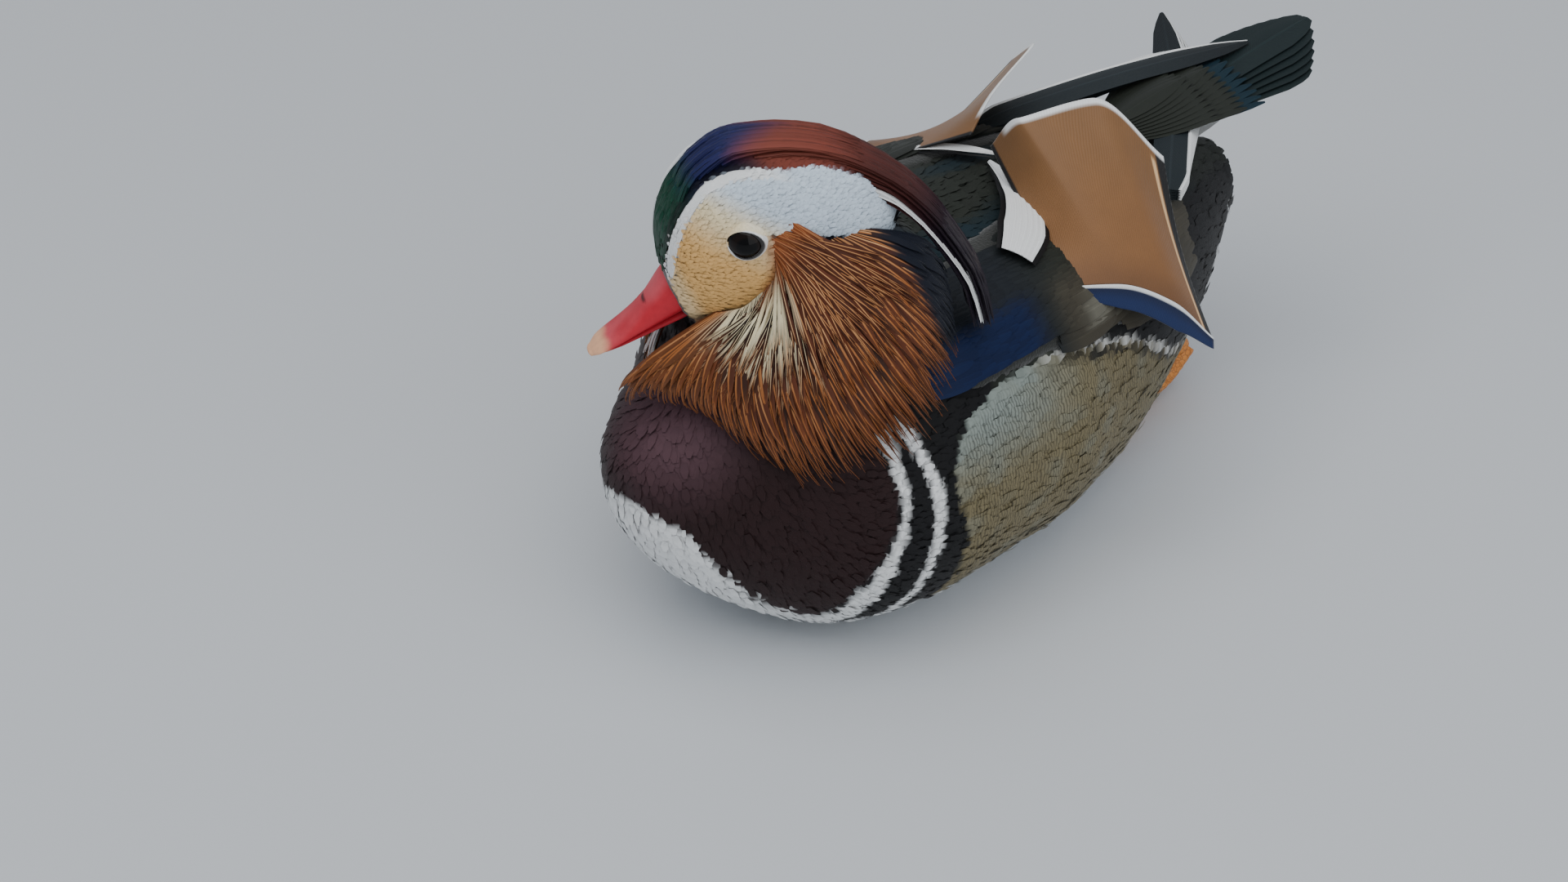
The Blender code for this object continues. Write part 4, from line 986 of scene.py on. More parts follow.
def cheek_hackles(side, count=300, steps=12):
    """Shorter hackles from the line on the cheek to a third of the way down the fan."""
    along = np.linspace(0, 1, steps)
    rank = random.uniform(0, 1, count)
    up = blend(-16.0, 8.0, rank)
    back = table(RUFF_START, up) + random.uniform(-1, 6, count)
    first = on_head(back, side * (head_side(back, up) - 0.7), up)
    part = np.clip(rank * 0.86 + random.normal(size=count) * 0.03, 0.02, 0.97)
    line, out = ruff_lines(side, part)
    stop = random.integers(16, 34, count)
    rows = np.arange(count)
    last = line[rows, stop] + out[rows, stop] * 1.6
    outward = unit(blend(first, last, 0.5) - on_head(*CHEEK_MIDDLE))
    spine = bowed(first, blend(first, last, 0.5) + outward * 2.6, last, steps)
    facing = unit(spine - on_head(*CHEEK_MIDDLE))
    shape = (0.5 + 0.6 * np.sin(along * math.pi * 0.6)) * (1 - fade(along, 0.6, 1.02) * 0.95)
    half = 0.8 * shape[None] * random.uniform(0.8, 1.15, (count, 1))
    throat = within(rank, 0.12, 0.6, 0.1)[:, None] * (1 - fade(along, 0.45, 0.95))
    half = half * (1 - 0.5 * throat)
    vane, shaft = hackle_colours(part[:, None], along * 0.6, random.uniform(0.3, 1, (count, 1)), throat)
    start = 1 - fade(along, 0.0, 0.35)
    return spine, facing, half, lay(vane, GINGER, start * 0.8), lay(shaft, GINGER, start * 0.6)


HACKLE = feather_finish("hackles", barb=0.45, depth=0.2, shaft=1.0, roughness=0.55, wide=0.12)
for side, hand in SIDES:
    fan = vanes("hackles" + hand, *gathered(hackles(side) + [cheek_hackles(side)]), camber=0.25, thick=0.2)
    finished(fan, "ruff" + hand, slot="ruff_feathers", material=HACKLE)


# %% [markdown]
# ## The crest
# Long silky feathers grow from the crown and run back over the nape to a drooping point. They follow one
# curve in the head's middle plane, each in its own lane to the left or right of it, in layers. Their
# colour changes with the place of their root: green, violet, copper, wine, and plum at the tip. Narrow
# white feathers edge them below, which is the white line behind the eye.

# %% Crest
CREST_EDGE = ((10, 22.5), (21, 30.5), (32, 32.0), (44, 28.0), (56, 20.0), (66, 8.0), (73.5, -6), (77.5, -22),
              (79, -40), (75.5, -59.5))
CREST_TIP_LEFT, CREST_HALF_WIDTH, CREST_TAPER, CREST_TAPER_START = 5.0, 9.5, 0.5, 0.45
CREST_MIDDLE, BROW_MIDDLE = (34, 0, -12), (30, 0, -4)
BROW = ((2.5, 8.2, 1), (4.1, 8.8, 4.6), (8.4, 10, 11.9), (14.1, 10.7, 18), (21.3, 10.6, 22.5),
        (28.3, 10.6, 23.6), (35.1, 11.3, 22.6), (42, 12.8, 19.0))
CREST_LAYERS = ((150, 0.02, 0.55, -0.8, False), (150, 0.14, 0.78, -1.2, False), (140, 0.28, 1.0, -1.7, False),
                (140, 0.38, 1.0, -2.8, False), (120, 0.45, 1.0, -4.4, False), (100, 0.5, 1.0, -6.0, False),
                (70, 0.44, 0.99, -7.2, True))


def crest_lines(part, across, height):
    """Places of feathers at parts of the crest's edge, off to one side and lifted. The edge's slope,
    turned a quarter, is the way outwards."""
    place = through_points(CREST_EDGE, part)
    ahead = through_points(CREST_EDGE, np.minimum(part + 0.01, 1))
    slope = unit(ahead - through_points(CREST_EDGE, part - 0.01))
    outward = np.stack([-slope[..., 1], slope[..., 0]], -1)
    place = place + outward * height[..., None]
    narrow = 1 - CREST_TAPER * np.clip((part - CREST_TAPER_START) / (1 - CREST_TAPER_START), 0, 1)
    left = across[:, None] * narrow + CREST_TIP_LEFT * np.clip(part * 2 - 1, 0, 1)
    return on_head(place[..., 0], left, place[..., 1])


def crest_colours(part, side):
    """Colours along the crest: copper comes first at its sides."""
    tone = lay(GREEN, VIOLET, fade(part, 0.04, 0.13))
    tone = lay(tone, COPPER, fade(part + 0.10 * side, 0.29, 0.42))
    tone = lay(tone, WINE, fade(part, 0.44, 0.60))
    return lay(tone, PLUM, fade(part, 0.62, 0.80))


def varied(tone, low, high):
    """Whole feathers made lighter or darker by chance, with their sheen as it was."""
    return tone * np.where(np.arange(4) < 3, random.uniform(low, high, (len(tone), 1, 1)), 1)


# %% Strands of crest, brow and forehead


def crest_layer(count, start, end, depth, white, steps=12):
    """One layer of strands: count, where they start and end along the crest, and their depth. White ones
    lie only at the two sides."""
    lane = random.uniform(-1, 1, count)
    if white:
        lane = np.sign(lane) * random.uniform(0.8, 1.02, count)
    along = np.linspace(0, 1, steps)
    first = start + random.uniform(0, 0.16, count)
    last = end * random.uniform(0.93, 1.0, count)
    across = CREST_HALF_WIDTH * 0.94 * lane * np.where(lane < 0, FAR_BROW + 0.5 * fade(first, 0.15, 0.4), 1)
    part = first[:, None] + (last - first)[:, None] * along
    sink = 1.9 * lane ** 2
    height = depth - sink[:, None] + random.normal(size=(count, 1)) * 0.2
    height = height + blend(-1.4, 0.0, np.clip(along * 4, 0, 1))
    spine = crest_lines(part, across, height)
    shape = (1 - fade(along, 0.8, 1.03) * 0.92)[None] * random.uniform(0.75, 1.15, (count, 1))
    tone = crest_colours(part, np.abs(lane)[:, None])
    if white:
        tone = np.broadcast_to(WHITE, tone.shape)
        spine = crest_lines(part, across, height + 6.5 * (part - start))
    return spine, unit(spine - on_head(*CREST_MIDDLE)), (0.85 - 0.15 * part) * shape, varied(tone, 0.75, 1.25)


def brow(side, count=110, steps=10):
    """Fine white strands along the crescent over one eye; on the far side they lie nearer the middle."""
    along = np.linspace(0, 1, steps)
    first = random.uniform(0, 0.72, count)
    part = first[:, None] + 0.27 * along
    back, left, up = np.moveaxis(through_points(BROW, part), -1, 0)
    if side < 0:
        left = left * FAR_BROW
    spread = np.interp(part, [0, 0.25, 0.8, 1], [0.5, 0.9, 0.8, 0.1])
    left = left + random.uniform(-1, 1, (count, 1)) * spread
    up = head_top(back, left) + (0.3 if side > 0 else 1.3)
    spine = on_head(back, side * left, up)
    shape = np.interp(along, [0, 0.3, 0.8, 1], [0.1, 0.4, 0.35, 0.05])
    tone = np.broadcast_to(WHITE, part.shape + (4,))
    return spine, unit(spine - on_head(*BROW_MIDDLE)), np.broadcast_to(shape, part.shape), tone


def forehead(count=260, steps=12):
    """Short glossy strands from the bill's base over the front of the crown."""
    along = np.linspace(0, 1, steps)
    back = (random.uniform(1.2, 17, count)[:, None] + 8 * along).clip(0, 30)
    left = random.uniform(-1, 1, (count, 1)) * (table(CROWN_EDGE, back) - 0.1)
    left = np.where(left < 0, left * FAR_BROW, left)
    spine = on_head(back, left, head_top(back, left) + 0.35 * np.sin(along * 3))
    tone = lay(GREEN, VIOLET, fade(back, 13, 24))
    tone = varied(lay(tone, BLACK, fade(np.abs(left), 6.0, 8.5) * 0.7), 0.7, 1.3)
    shape = np.interp(along, [0, 0.4, 1], [0.5, 0.8, 0.1])
    return spine, unit(spine - on_head(*CREST_MIDDLE)), np.broadcast_to(shape, back.shape), tone


SILK = feather_finish("crest_silk", barb=0.4, depth=0.2, shaft=0.0, roughness=0.4)
layers = [crest_layer(*layer) for layer in CREST_LAYERS] + [forehead()]
plumes = vanes("crest_plumes", *gathered(layers), camber=0.25, thick=0.15)
finished(plumes, "crest", slot="crest_feathers", material=SILK)

# Each array of the brows is drawn anew, so a strand faces the way of a chance neighbour.
brow_arrays = [np.concatenate([brow(side)[index] for side, _ in SIDES]) for index in range(4)]
brows = vanes("brows", *brow_arrays, camber=0.2, thick=0.1)
finished(brows, slot="head_feathers", material=SILK)

# %% [markdown]
# ## The folded wing
# Between ruff and sail the folded wing shows its coverts and the long scapulars that hang over it. They
# lie in tiers, like tiles on a roof, and take their colour from their place: royal blue low in front,
# brown and grey over the flank, dark olive above. Under them a smooth pad closes the wing.

# %% Wing
WING_EDGES = ((-82, 42, 56), (-63, 33, 66), (-40, 32, 72), (-15, 28, 74), (10, 20, 72), (44, 16, 62))
WING_ROWS = ([(start, 17, 38, 66, 24, 4.4, 3.2 + 0.02 * (start + 80)) for start in np.arange(-82, -30, 5.0)]
             + [(start, 24, 31, 68, 20, 6.0, 4.4) for start in np.arange(-34, -4, 6.0)]
             + [(start, 34, 24, 64, 14, 8.5, 4.3) for start in (-6.0, -1.0, 4.0)])
BROWN, GREY = seen(62, 58, 48, 0), seen(118, 116, 104, 0)


def wing_pad(name, side):
    """The wing's base: a slab over the torso whose upper face swells as a sine both ways."""
    places = np.linspace(-81, 43, 50)
    low, high = smooth_rows(WING_EDGES, places).T
    across = np.linspace(0, 1, 24)
    turn = low[:, None] + (high - low)[:, None] * across
    lengthwise = np.sin(np.linspace(0.02, 0.98, 50) * math.pi)[:, None] ** 0.6
    swell = lengthwise * np.sin(across * math.pi) ** 0.7
    place = np.broadcast_to(places[:, None], turn.shape)
    upper, _ = over_torso(place, turn, 0.2 + 4.0 * swell)
    lower, _ = over_torso(place, turn, np.full(turn.shape, -1.0))
    ring = np.concatenate([upper, lower[:, ::-1]], axis=1) * (side, 1, 1)
    pad = merged(loft(name, ring, ring[0].mean(0), ring[-1].mean(0)))
    # Olive at half brightness: painted shade where the pad shows between the coverts.
    tint(pad, "tint", np.broadcast_to(OLIVE * (0.5, 0.5, 0.5, 1), (len(pad.data.vertices), 4)))
    return pad


def wing_colour(place, turn):
    """Colour of the wing by place along the body and turn about it."""
    tone = lay(OLIVE, NIGHT, (1 - fade(place, -45, -20)) * 0.7)
    tone = lay(tone, ROYAL, (1 - fade(place, -46, -34)) * (1 - fade(turn, 46, 52)))
    tone = lay(tone, BROWN, fade(place, -36, -26) * (1 - fade(turn, 44, 54)))
    return lay(tone, GREY, within(place, -22, -4, 3) * within(turn, 33, 41, 2) * 0.8)


def wing_tiles(name, side):
    """Rows of feathers over the wing, each given by place, length, lower and upper turn, count, width
    and lift. Every feather rolls a little, so that one edge lies under the next."""
    shape = np.array([0.6, 0.9, 1.0, 1.0, 0.94, 0.74, 0.28])
    along = np.linspace(0, 1, len(shape))
    groups = []
    for start, length, low, high, count, width, lift in WING_ROWS:
        lane = (np.arange(count) + 0.5 + random.uniform(-0.15, 0.15, count)) / count
        turn = blend(low, high, lane)[:, None] - 2.0 * along
        place = start + random.uniform(-1.5, 1.5, (count, 1))
        place = place + length * along * random.uniform(0.93, 1.05, (count, 1))
        height = lift + blend(-2.6, 0.0, along)[None] + 1.2 * np.sin(lane * math.pi)[:, None]
        spine, facing = over_torso(place, turn, height)
        roll = unit(np.cross(facing, np.gradient(spine, axis=1)))
        half = np.broadcast_to(width / 2 * shape, place.shape)
        tone = varied(wing_colour(place, turn), 0.85, 1.15)
        groups.append((spine * (side, 1, 1), (facing + roll * 0.12) * (side, 1, 1), half, tone))
    return vanes(name, *gathered(groups), camber=0.12, thick=0.25)


GLOSSY = feather_finish("glossy_feathers", barb=0.45, depth=0.2, shaft=0.3, roughness=0.46, wide=0.05,
                        bumpy=0.2)
for side, hand in SIDES:
    wing = "wing" + hand
    finished(wing_pad(wing + "_pad", side), slot="wing_feathers", material=DOWN)
    finished(wing_tiles(wing + "_coverts", side), wing, slot="wing_feathers", material=GLOSSY)


# %% [markdown]
# ## The scapulars
# Between crest and sail a broad white feather with black edges hangs over each wing. It is built as
# several narrow white feathers side by side, with black ones under their rims.

# %% Scapulars
SCAPULARS = {1: ((-35, 59), (-24, 66), (-15, 76), (-8, 91)), -1: ((-14, 114), (-10, 107), (-7, 99), (-4, 91))}
SCAPULAR_HALF = {1: 6.2, -1: 3.2}
SCAPULAR_LIFT = {1: (6.6, 6.0, 3.0), -1: (3, 3.5, 4)}


def scapulars(name, side, steps=20, count=9):
    """Strands along one curve of place and turn over the torso, spread over its width. The outer ones
    are black and lie lower."""
    along = np.linspace(0, 1, steps)
    place, turn = path(SCAPULARS[side], steps).T
    middle, facing = over_torso(place, turn, np.interp(along, [0, 0.6, 1], SCAPULAR_LIFT[side]))
    across = unit(np.cross(np.gradient(middle, axis=0), facing))
    lane = np.linspace(-1, 1, count)[:, None, None]
    half = SCAPULAR_HALF[side] * np.interp(along, [0, 0.25, 0.7, 1], [0.75, 1.0, 0.7, 0.12])
    dark = np.abs(lane) > 0.9
    spines = middle + across * half[:, None] * lane * 1.1 + facing * (0.8 * (1 - lane ** 2) - 0.5 * dark)
    tone = np.where(dark, BLACK, WHITE) * np.ones((1, steps, 1))
    return vanes(name, spines, facing, half * 1.8 / count, tone, camber=0.2, thick=0.2)


for side, hand in SIDES:
    finished(scapulars("scapulars" + hand, side), slot="wing_feathers", material=GLOSSY)


# %% [markdown]
# ## The sails
# The sail is one tertial whose inner vane has grown into a broad upright fan. Its shaft lies low, along
# the blue strip of its narrow outer vane, and all its barbs rise from there. The surface is a patch
# between shaft, top edge, front edge and rear edge: two ruled surfaces added, less the bilinear one.

# %% Sails
SAIL_SHAFT = ((44, -24, 92), (52, -9, 90), (59, 6, 81), (64, 19, 65))
SAIL_TOP = {1: ((5, -14, 117), (13, -12, 129), (22, 9, 131), (37, 24, 112)),
            -1: ((9, -8, 112), (12, 4, 120), (16, 24, 126), (34, 36, 110))}
SAIL_BOW, SAIL_SWELL = {1: -2, -1: -6}, {1: 4.0, -1: -4.5}
SAIL_HALF_THICK, SAIL_GRID = 0.3, (140, 100)
SAIL_OUT = unit(np.array([0.77, -0.2, 0.6]))
SAIL_BROWN, SAIL_LIGHT, SAIL_DEEP = seen(134, 91, 51, 0), seen(128, 90, 53, 0), seen(104, 68, 38, 0)


def sail_patch(side, columns, rows):
    """The patch for one side, with its rear edge bowed and its middle swollen as sines."""
    u = np.linspace(0, 1, columns)[:, None, None]
    v = np.linspace(0, 1, rows)[None, :, None]
    shaft = path(SAIL_SHAFT, columns)[:, None]
    top = path(SAIL_TOP[side], columns)[:, None]
    front = blend(shaft[:1], top[:1], v)
    rear = blend(shaft[-1:], top[-1:], v) + unit(np.array([2, 5, 1])) * SAIL_BOW[side] * np.sin(v * math.pi)
    corners = blend(blend(shaft[:1], shaft[-1:], u), blend(top[:1], top[-1:], u), v)
    swell = SAIL_SWELL[side] * np.sin(u * math.pi) * np.sin(v * math.pi)
    return blend(shaft, top, v) + blend(front, rear, u) - corners + SAIL_OUT * swell, u, v


def sheet_faces(rows, columns):
    """Faces of a closed sheet of two grids, one over the other, with a rim between them."""
    index = np.arange(rows * columns).reshape(rows, columns)
    a, b, c, d = index[:-1, :-1], index[1:, :-1], index[1:, 1:], index[:-1, 1:]
    face = np.stack([a, b, c, d], -1).reshape(-1, 4)
    rim = np.concatenate([index[0, :], index[1:, -1], index[-1, -2::-1], index[-2:0:-1, 0]])
    after = np.roll(rim, -1)
    low = rows * columns
    edge = np.stack([rim, after, after + low, rim + low], -1)
    return np.vstack([face[:, ::-1], face + low, edge])


def sheet(name, upper, lower, tone, barbs):
    """A closed sheet with its colours and its map in millimetres on both faces."""
    rows, columns = upper.shape[:2]
    points = np.vstack([upper.reshape(-1, 3), lower.reshape(-1, 3)])
    thing = put_mesh(name, points, sheet_faces(rows, columns))
    tint(thing, "tint", np.vstack([tone.reshape(-1, 4)] * 2))
    place = np.stack(np.broadcast_arrays(np.linspace(0, 1, rows)[:, None], np.linspace(0, 1, columns)), -1)
    for layer, scale in (("barbs", barbs), ("OFBake", (0.4, 0.4))):
        spread_map(thing, layer, np.vstack([place.reshape(-1, 2)] * 2) * scale)
    return merged(thing)


def sail_colour(u, v):
    """Orange brown, deeper near the shaft, with a white arc on top and dark bands front and rear."""
    tone = lay(SAIL_BROWN, SAIL_LIGHT, fade(v, 0.25, 0.9))
    tone = lay(tone, SAIL_DEEP, (1 - fade(v, 0, 0.22)) * 0.7)
    tone = lay(tone, BLACK, 1 - fade(u, 0.02, 0.035))
    tone = lay(tone, seen(232, 190, 140, 0), within(u, 0.925, 0.945, 0.004) * (1 - fade(v, 0.9, 0.94)))
    tone = lay(tone, BLACK, fade(u, 0.95, 0.958))
    tone = lay(tone, WHITE, fade(v, 0.965, 0.975) * fade(u, 0.12, 0.2))
    return lay(tone, BLACK, 1 - fade(v, 0.004, 0.012))


def sail_finish():
    """Barbs that fan up from the shaft: fine lines at a slant, with faint brown wear."""
    made, shader, start = material("sail_vane", Roughness=0.6, Sheen_Weight=0.2, Sheen_Roughness=0.4)
    colour, sized = start.layer("tint"), start.map("barbs")
    blotch = start.place().noise(160.0, 3.0)
    lane = sized - sized.other("Y") * 0.28
    waves = (lane * (2 * math.pi / 0.55) + blotch * 7.0).sine()
    return wire(made, shader, Base_Color=colour.darker(0.88 + waves * 0.035 + blotch * 0.2),
                Metallic=colour.other("Alpha"), Normal=waves.bump(0.15, 0.0003))


SAIL = sail_finish()
for side, hand in SIDES:
    grid, u, v = sail_patch(side, *SAIL_GRID)
    u, v = np.broadcast_arrays(u[..., 0], v[..., 0])
    outer, inner = ((grid + SAIL_OUT * lift) * (side, 1, 1) for lift in (SAIL_HALF_THICK, -SAIL_HALF_THICK))
    web = sheet("sail_vane" + hand, outer, inner, sail_colour(u, v), (48, 50))
    finished(web, "sail" + hand, slot="sail_feathers", material=SAIL)


# %% The blue outer vanes


def sail_strip(name, side):
    """The narrow outer vane below the shaft: royal blue, edged with white along the shaft."""
    columns, rows = 60, 16
    shaft = path(SAIL_SHAFT, columns)
    wide = np.interp(np.linspace(0, 1, columns), [0, 0.35, 0.7, 1], [3.0, 7.5, 8.5, 3.5])[:, None, None]
    across = np.linspace(0, 1, rows)[None, :, None]
    hang = unit(np.array([0.2, -0.1, -1.0]))
    grid = shaft[:, None] + (0.3, 0, 0.4) + hang * wide * across
    away = unit(np.array([0.95, 0, 0.25])) * SAIL_HALF_THICK
    v = np.broadcast_to(across[..., 0], (columns, rows))
    tone = lay(ROYAL, seen(18, 44, 96, 0.3), fade(v, 0.2, 0.7) * 0.6)
    tone = lay(tone, WHITE, 1 - fade(v, 0.12, 0.18))
    return sheet(name, (grid + away) * (side, 1, 1), (grid - away) * (side, 1, 1), tone, (50, 8))


for side, hand in SIDES:
    finished(sail_strip("outer_vane" + hand, side), slot="sail_feathers", material=SAIL)


# %% [markdown]
# ## Wing tips and tail
# The primaries fold into a narrow stack on each side, and the two stacks cross over the rump. The tail is
# a low fan of twelve feathers, with coverts over and under its root.

# %% Primaries
PRIMARIES = {1: ((25, 41, 95), (-3, 72, 97), (-34, 100, 100)),
             -1: ((-26, 24, 99), (-14, 66, 101.5), (-3, 105, 101))}
BLADES = 7
SLATE, DEEP_SLATE = seen(34, 42, 46, 0.1), seen(18, 24, 28, 0.1)


def primaries(name, side):
    """Seven blades from one base: each is shorter, lower and further out than the one before. A narrow
    white strand runs along the outer edge of each."""
    base, middle, tip = np.array(PRIMARIES[side], float)
    ahead = unit(middle - base)
    outside = np.cross(ahead, (0, 0, 1)) * side
    steps = 24
    along = np.linspace(0, 1, steps)
    spines = []
    for index in range(BLADES):
        end = blend(middle, tip, 1 - 0.075 * index)
        drop = np.array([0, 0, -0.55 * index])
        spread = outside * 1.4 * index
        start = base - ahead * 9 - (0, 0, 1.0)
        stations = [start + drop, base + drop, middle + drop + spread * 0.5, end + drop + spread]
        spines.append(path(stations, steps))
    spines = np.array(spines)
    half = np.interp(along, [0, 0.3, 0.8, 0.93, 1], [3.2, 5.4, 5.2, 3.4, 0.7])
    half = np.broadcast_to(half, (BLADES, steps))
    tone = np.broadcast_to(lay(SLATE, DEEP_SLATE, fade(along, 0.6, 1.0) * 0.8), (BLADES, steps, 4))
    rim = spines + outside * (half[..., None] - 0.15) + (0, 0, 0.12)
    thin = np.broadcast_to(np.interp(along, [0, 0.75, 0.95, 1], [0.5, 0.5, 0.2, 0.1]), half.shape)
    return vanes(name, np.concatenate([spines, rim]), np.array([0, 0, 1.0]), np.concatenate([half, thin]),
                 np.concatenate([tone, np.broadcast_to(WHITE, tone.shape)]), camber=0.1, thick=0.2)


FLIGHT = feather_finish("flight_feathers", barb=0.6, depth=0.2, shaft=0.6, roughness=0.45, wide=0.05)
for side, hand in SIDES:
    finished(primaries("quills" + hand, side), "primaries" + hand, slot="flight_feathers", material=FLIGHT)


# %% Tail
TAIL_ROOT, TAIL_LENGTH = np.array([0, 62, 95.0]), 65.5
TAIL_FAN, TAIL_RISE = math.radians(17), math.radians(7.5)
TAIL_COVERTS = ((44, 4.5, 30, 17, OLIVE), (52, 3.6, 32, 17, OLIVE), (60, 2.4, 32, 15, TEAL),
                (50, -15.0, 24, 17, WHITE), (57, -13.0, 26, 17, WHITE), (64, -10.5, 26, 15, WHITE))


def tail(name, steps=20):
    """Twelve feathers in a fan, left and right by turns, each a little lower and shorter than the last."""
    along = np.linspace(0, 1, steps)
    rank = np.repeat(np.arange(6), 2)
    hand = np.tile([1, -1], 6)
    angle = TAIL_FAN * (rank + 0.4) / 6 * hand
    rise = np.full(12, math.sin(TAIL_RISE))
    ahead = np.stack([np.sin(angle), np.cos(angle) * math.cos(TAIL_RISE), rise], -1)
    level = TAIL_ROOT - np.array([0, 0, 1.0]) * (rank + 0.5 * (hand < 0))[:, None]
    length = (TAIL_LENGTH * (1 - 0.035 * rank))[:, None, None]
    spines = level[:, None] + ahead[:, None] * length * along[None, :, None]
    spines[..., 2] -= 1.2 * along ** 2
    half = np.broadcast_to(np.interp(along, [0, 0.3, 0.8, 0.93, 1], [4.5, 6, 6.6, 5.0, 1.8]), (12, steps))
    tone = np.broadcast_to(seen(24, 38, 40, 0.15), (12, steps, 4))
    return vanes(name, spines, np.array([0, -math.sin(TAIL_RISE), 1.0]), half, tone, camber=0.08, thick=0.25)


def tail_coverts(name, steps=8):
    """Three layers over the tail and three under it: place, height, length, count and colour of each."""
    along = np.linspace(0, 1, steps)
    spines, tones = [], []
    for start, height, length, count, tone in TAIL_COVERTS:
        angle = np.radians(np.linspace(-1, 1, count) * (28 if height > 0 else 16))
        rise = math.sin(TAIL_RISE) * (0.75 if height > 0 else 1.9)
        ahead = np.stack([np.sin(angle), np.cos(angle), np.full(count, rise)], -1)
        fall = -np.abs(np.sin(angle)) * 9 * np.sign(height)
        root = np.array([0, start, 95 + height]) + np.stack([np.sin(angle) * 9, 0 * angle, fall], -1)
        spines.append(root[:, None] + ahead[:, None] * length * along[None, :, None])
        tones.append(np.broadcast_to(tone, (count, steps, 4)))
    spines = np.concatenate(spines)
    half = np.broadcast_to(np.array([2.0, 3.0, 3.6, 3.8, 3.6, 3.0, 2.0, 0.5]), spines.shape[:2])
    return vanes(name, spines, np.array([0, 0, 1.0]), half, np.concatenate(tones), camber=0.15, thick=0.25)


finished(tail("tail_fan"), "tail", slot="flight_feathers", material=FLIGHT)
finished(tail_coverts("tail_coverts"), slot="flight_feathers", material=GLOSSY)

# %% [markdown]
# ## The bill
# A duck's bill is a narrow wedge with rounded sides, a harder nail at its tip, and slit nostrils near its
# base. The sections of the solids are read closely, so that the wedge is smooth.

# %% Bill
BILL_UPPER = ((-2.0, 7.4, 1.2, -12.2), (0.3, 7.2, 0.0, -12.2), (6, 6.7, -4.0, -12.2), (12, 6.3, -7.2, -12.2),
              (19, 6.0, -9.6, -12.5), (25, 4.9, -11.0, -13.0), (27.6, 2.9, -12.0, -13.5))
BILL_LOWER = ((-2.0, 5.0, -11.8, -14.3), (0.3, 5.0, -11.8, -14.3), (8, 4.7, -12.0, -14.2),
              (18, 4.3, -12.5, -14.1), (23.5, 3.0, -13.2, -14.3))
BILL_ENDS = {"bill_upper": 28.6, "bill_lower": 25.0}
BILL_LEVEL, BILL_ROUNDNESS = 0.3, 2.3
NOSTRIL = (9.0, -5.0)


def mandible(name, node, rows, steps=60, sides=48):
    """Sections of a mandible run forward and shrink to a rounded tip as the root of the way left."""
    first, last = rows[0][0], rows[-1][0]
    end = BILL_ENDS[node]
    tip = blend(last, end, np.array([0.3, 0.6, 0.82, 0.95]))
    places = np.concatenate([np.linspace(first, last, steps), tip])
    half, top, bottom = smooth_rows(rows, np.clip(places, first, last)).T
    shrink = np.sqrt(1 - ((places - last) / (end - last)).clip(0, 1) ** 2)
    middle = (rows[-1][2] + rows[-1][3]) / 2
    half, top, bottom = half * shrink, blend(middle, top, shrink), blend(middle, bottom, shrink)
    turn = np.arange(sides)[None] * 360 / sides
    level = blend(bottom, top, BILL_LEVEL)
    across, up = oval(turn, *(row[:, None] for row in (half, top, level, bottom)), BILL_ROUNDNESS)
    if node == "bill_upper":
        hole = np.exp(-((places[:, None] - NOSTRIL[0]) / 2.2) ** 2 - ((up - NOSTRIL[1]) / 0.9) ** 2)
        across = across * (1 - 0.22 * hole)
    rings = on_head(np.broadcast_to(-places[:, None], up.shape), across, up)
    return merged(loft(name, rings, rings[0].mean(0), on_head(-end, 0, middle)))


def bill_finish():
    """Raspberry horn with fine pores; its colours come with the mesh."""
    made, shader, start = material("bill_horn", Specular_IOR_Level=0.35)
    grain = start.place().noise(700.0, 5.0)
    return wire(made, shader, Base_Color=start.layer("tint").darker(0.85 + grain * 0.3),
                Normal=grain.bump(0.2, 0.0003), Roughness=0.4 + grain * 0.2)


def bill_colours(thing):
    """Red sides, a ridge painted paler as a highlight, a peach nail, a nostril painted dark as its shade."""
    points, _ = corners_of(thing)
    back, left, up = head_place(points)
    ahead = -back
    # The top of the bill is painted paler as a highlight; towards the tip it reaches further down.
    ridge = fade(up + ahead * 0.42 + ripple(points, 8, 3) * 0.5, -3.6, -0.8)
    red = lay(seen(186, 36, 50, 0), seen(214, 92, 102, 0), ridge * 0.7)
    red = lay(red, seen(232, 178, 140, 0), fade(ahead + ripple(points, 5, 9) * 0.8, 21.0, 24.5))
    # The nostril is painted dark as the shade inside its opening.
    hole = np.exp(-((ahead - NOSTRIL[0]) / 2.0) ** 2 - ((up - NOSTRIL[1]) / 0.6) ** 2)
    tint(thing, "tint", lay(red, seen(60, 12, 18, 0), fade(hole, 0.35, 0.7)))


HORN = bill_finish()
for name, node, rows in (("upper_mandible", "bill_upper", BILL_UPPER),
                         ("lower_mandible", "bill_lower", BILL_LOWER)):
    horn = mandible(name, node, rows)
    bill_colours(horn)
    finished(horn, node, slot="bill_horn", material=HORN)


# %% [markdown]
# ## The eyes
# The eye is nearly black and wet. Two lids close on it: a patch of a slightly larger sphere with an almond
# opening, white around the eye and in the face's colours further out, with a dark rim at the opening.

# %% Eyes
EYE_BALL, EYE_OPENING = 6.2, 5.3
ALMOND_LONG, ALMOND_HIGH, ALMOND_TILT, ALMOND_SHIFT = 4.6, 3.9, math.radians(32), (0.5, 0.7)
LID_THICK, LID_REACH, LID_RIM = 0.3, 0.7, 5.8


def eye_axes(side):
    """Centre of the ball, the way it looks, and the two directions across that."""
    look = unit(HEAD_LEFT * side + HEAD_FORWARD * 0.16 + HEAD_UP * 0.10)
    over = unit(HEAD_UP - look * np.dot(HEAD_UP, look))
    away = head_rows(EYE_PLACE[0])[0] - math.sqrt(EYE_BALL ** 2 - EYE_OPENING ** 2) - 0.3
    return on_head(EYE_PLACE[0], side * away, EYE_PLACE[1]), look, over, np.cross(look, over) * side


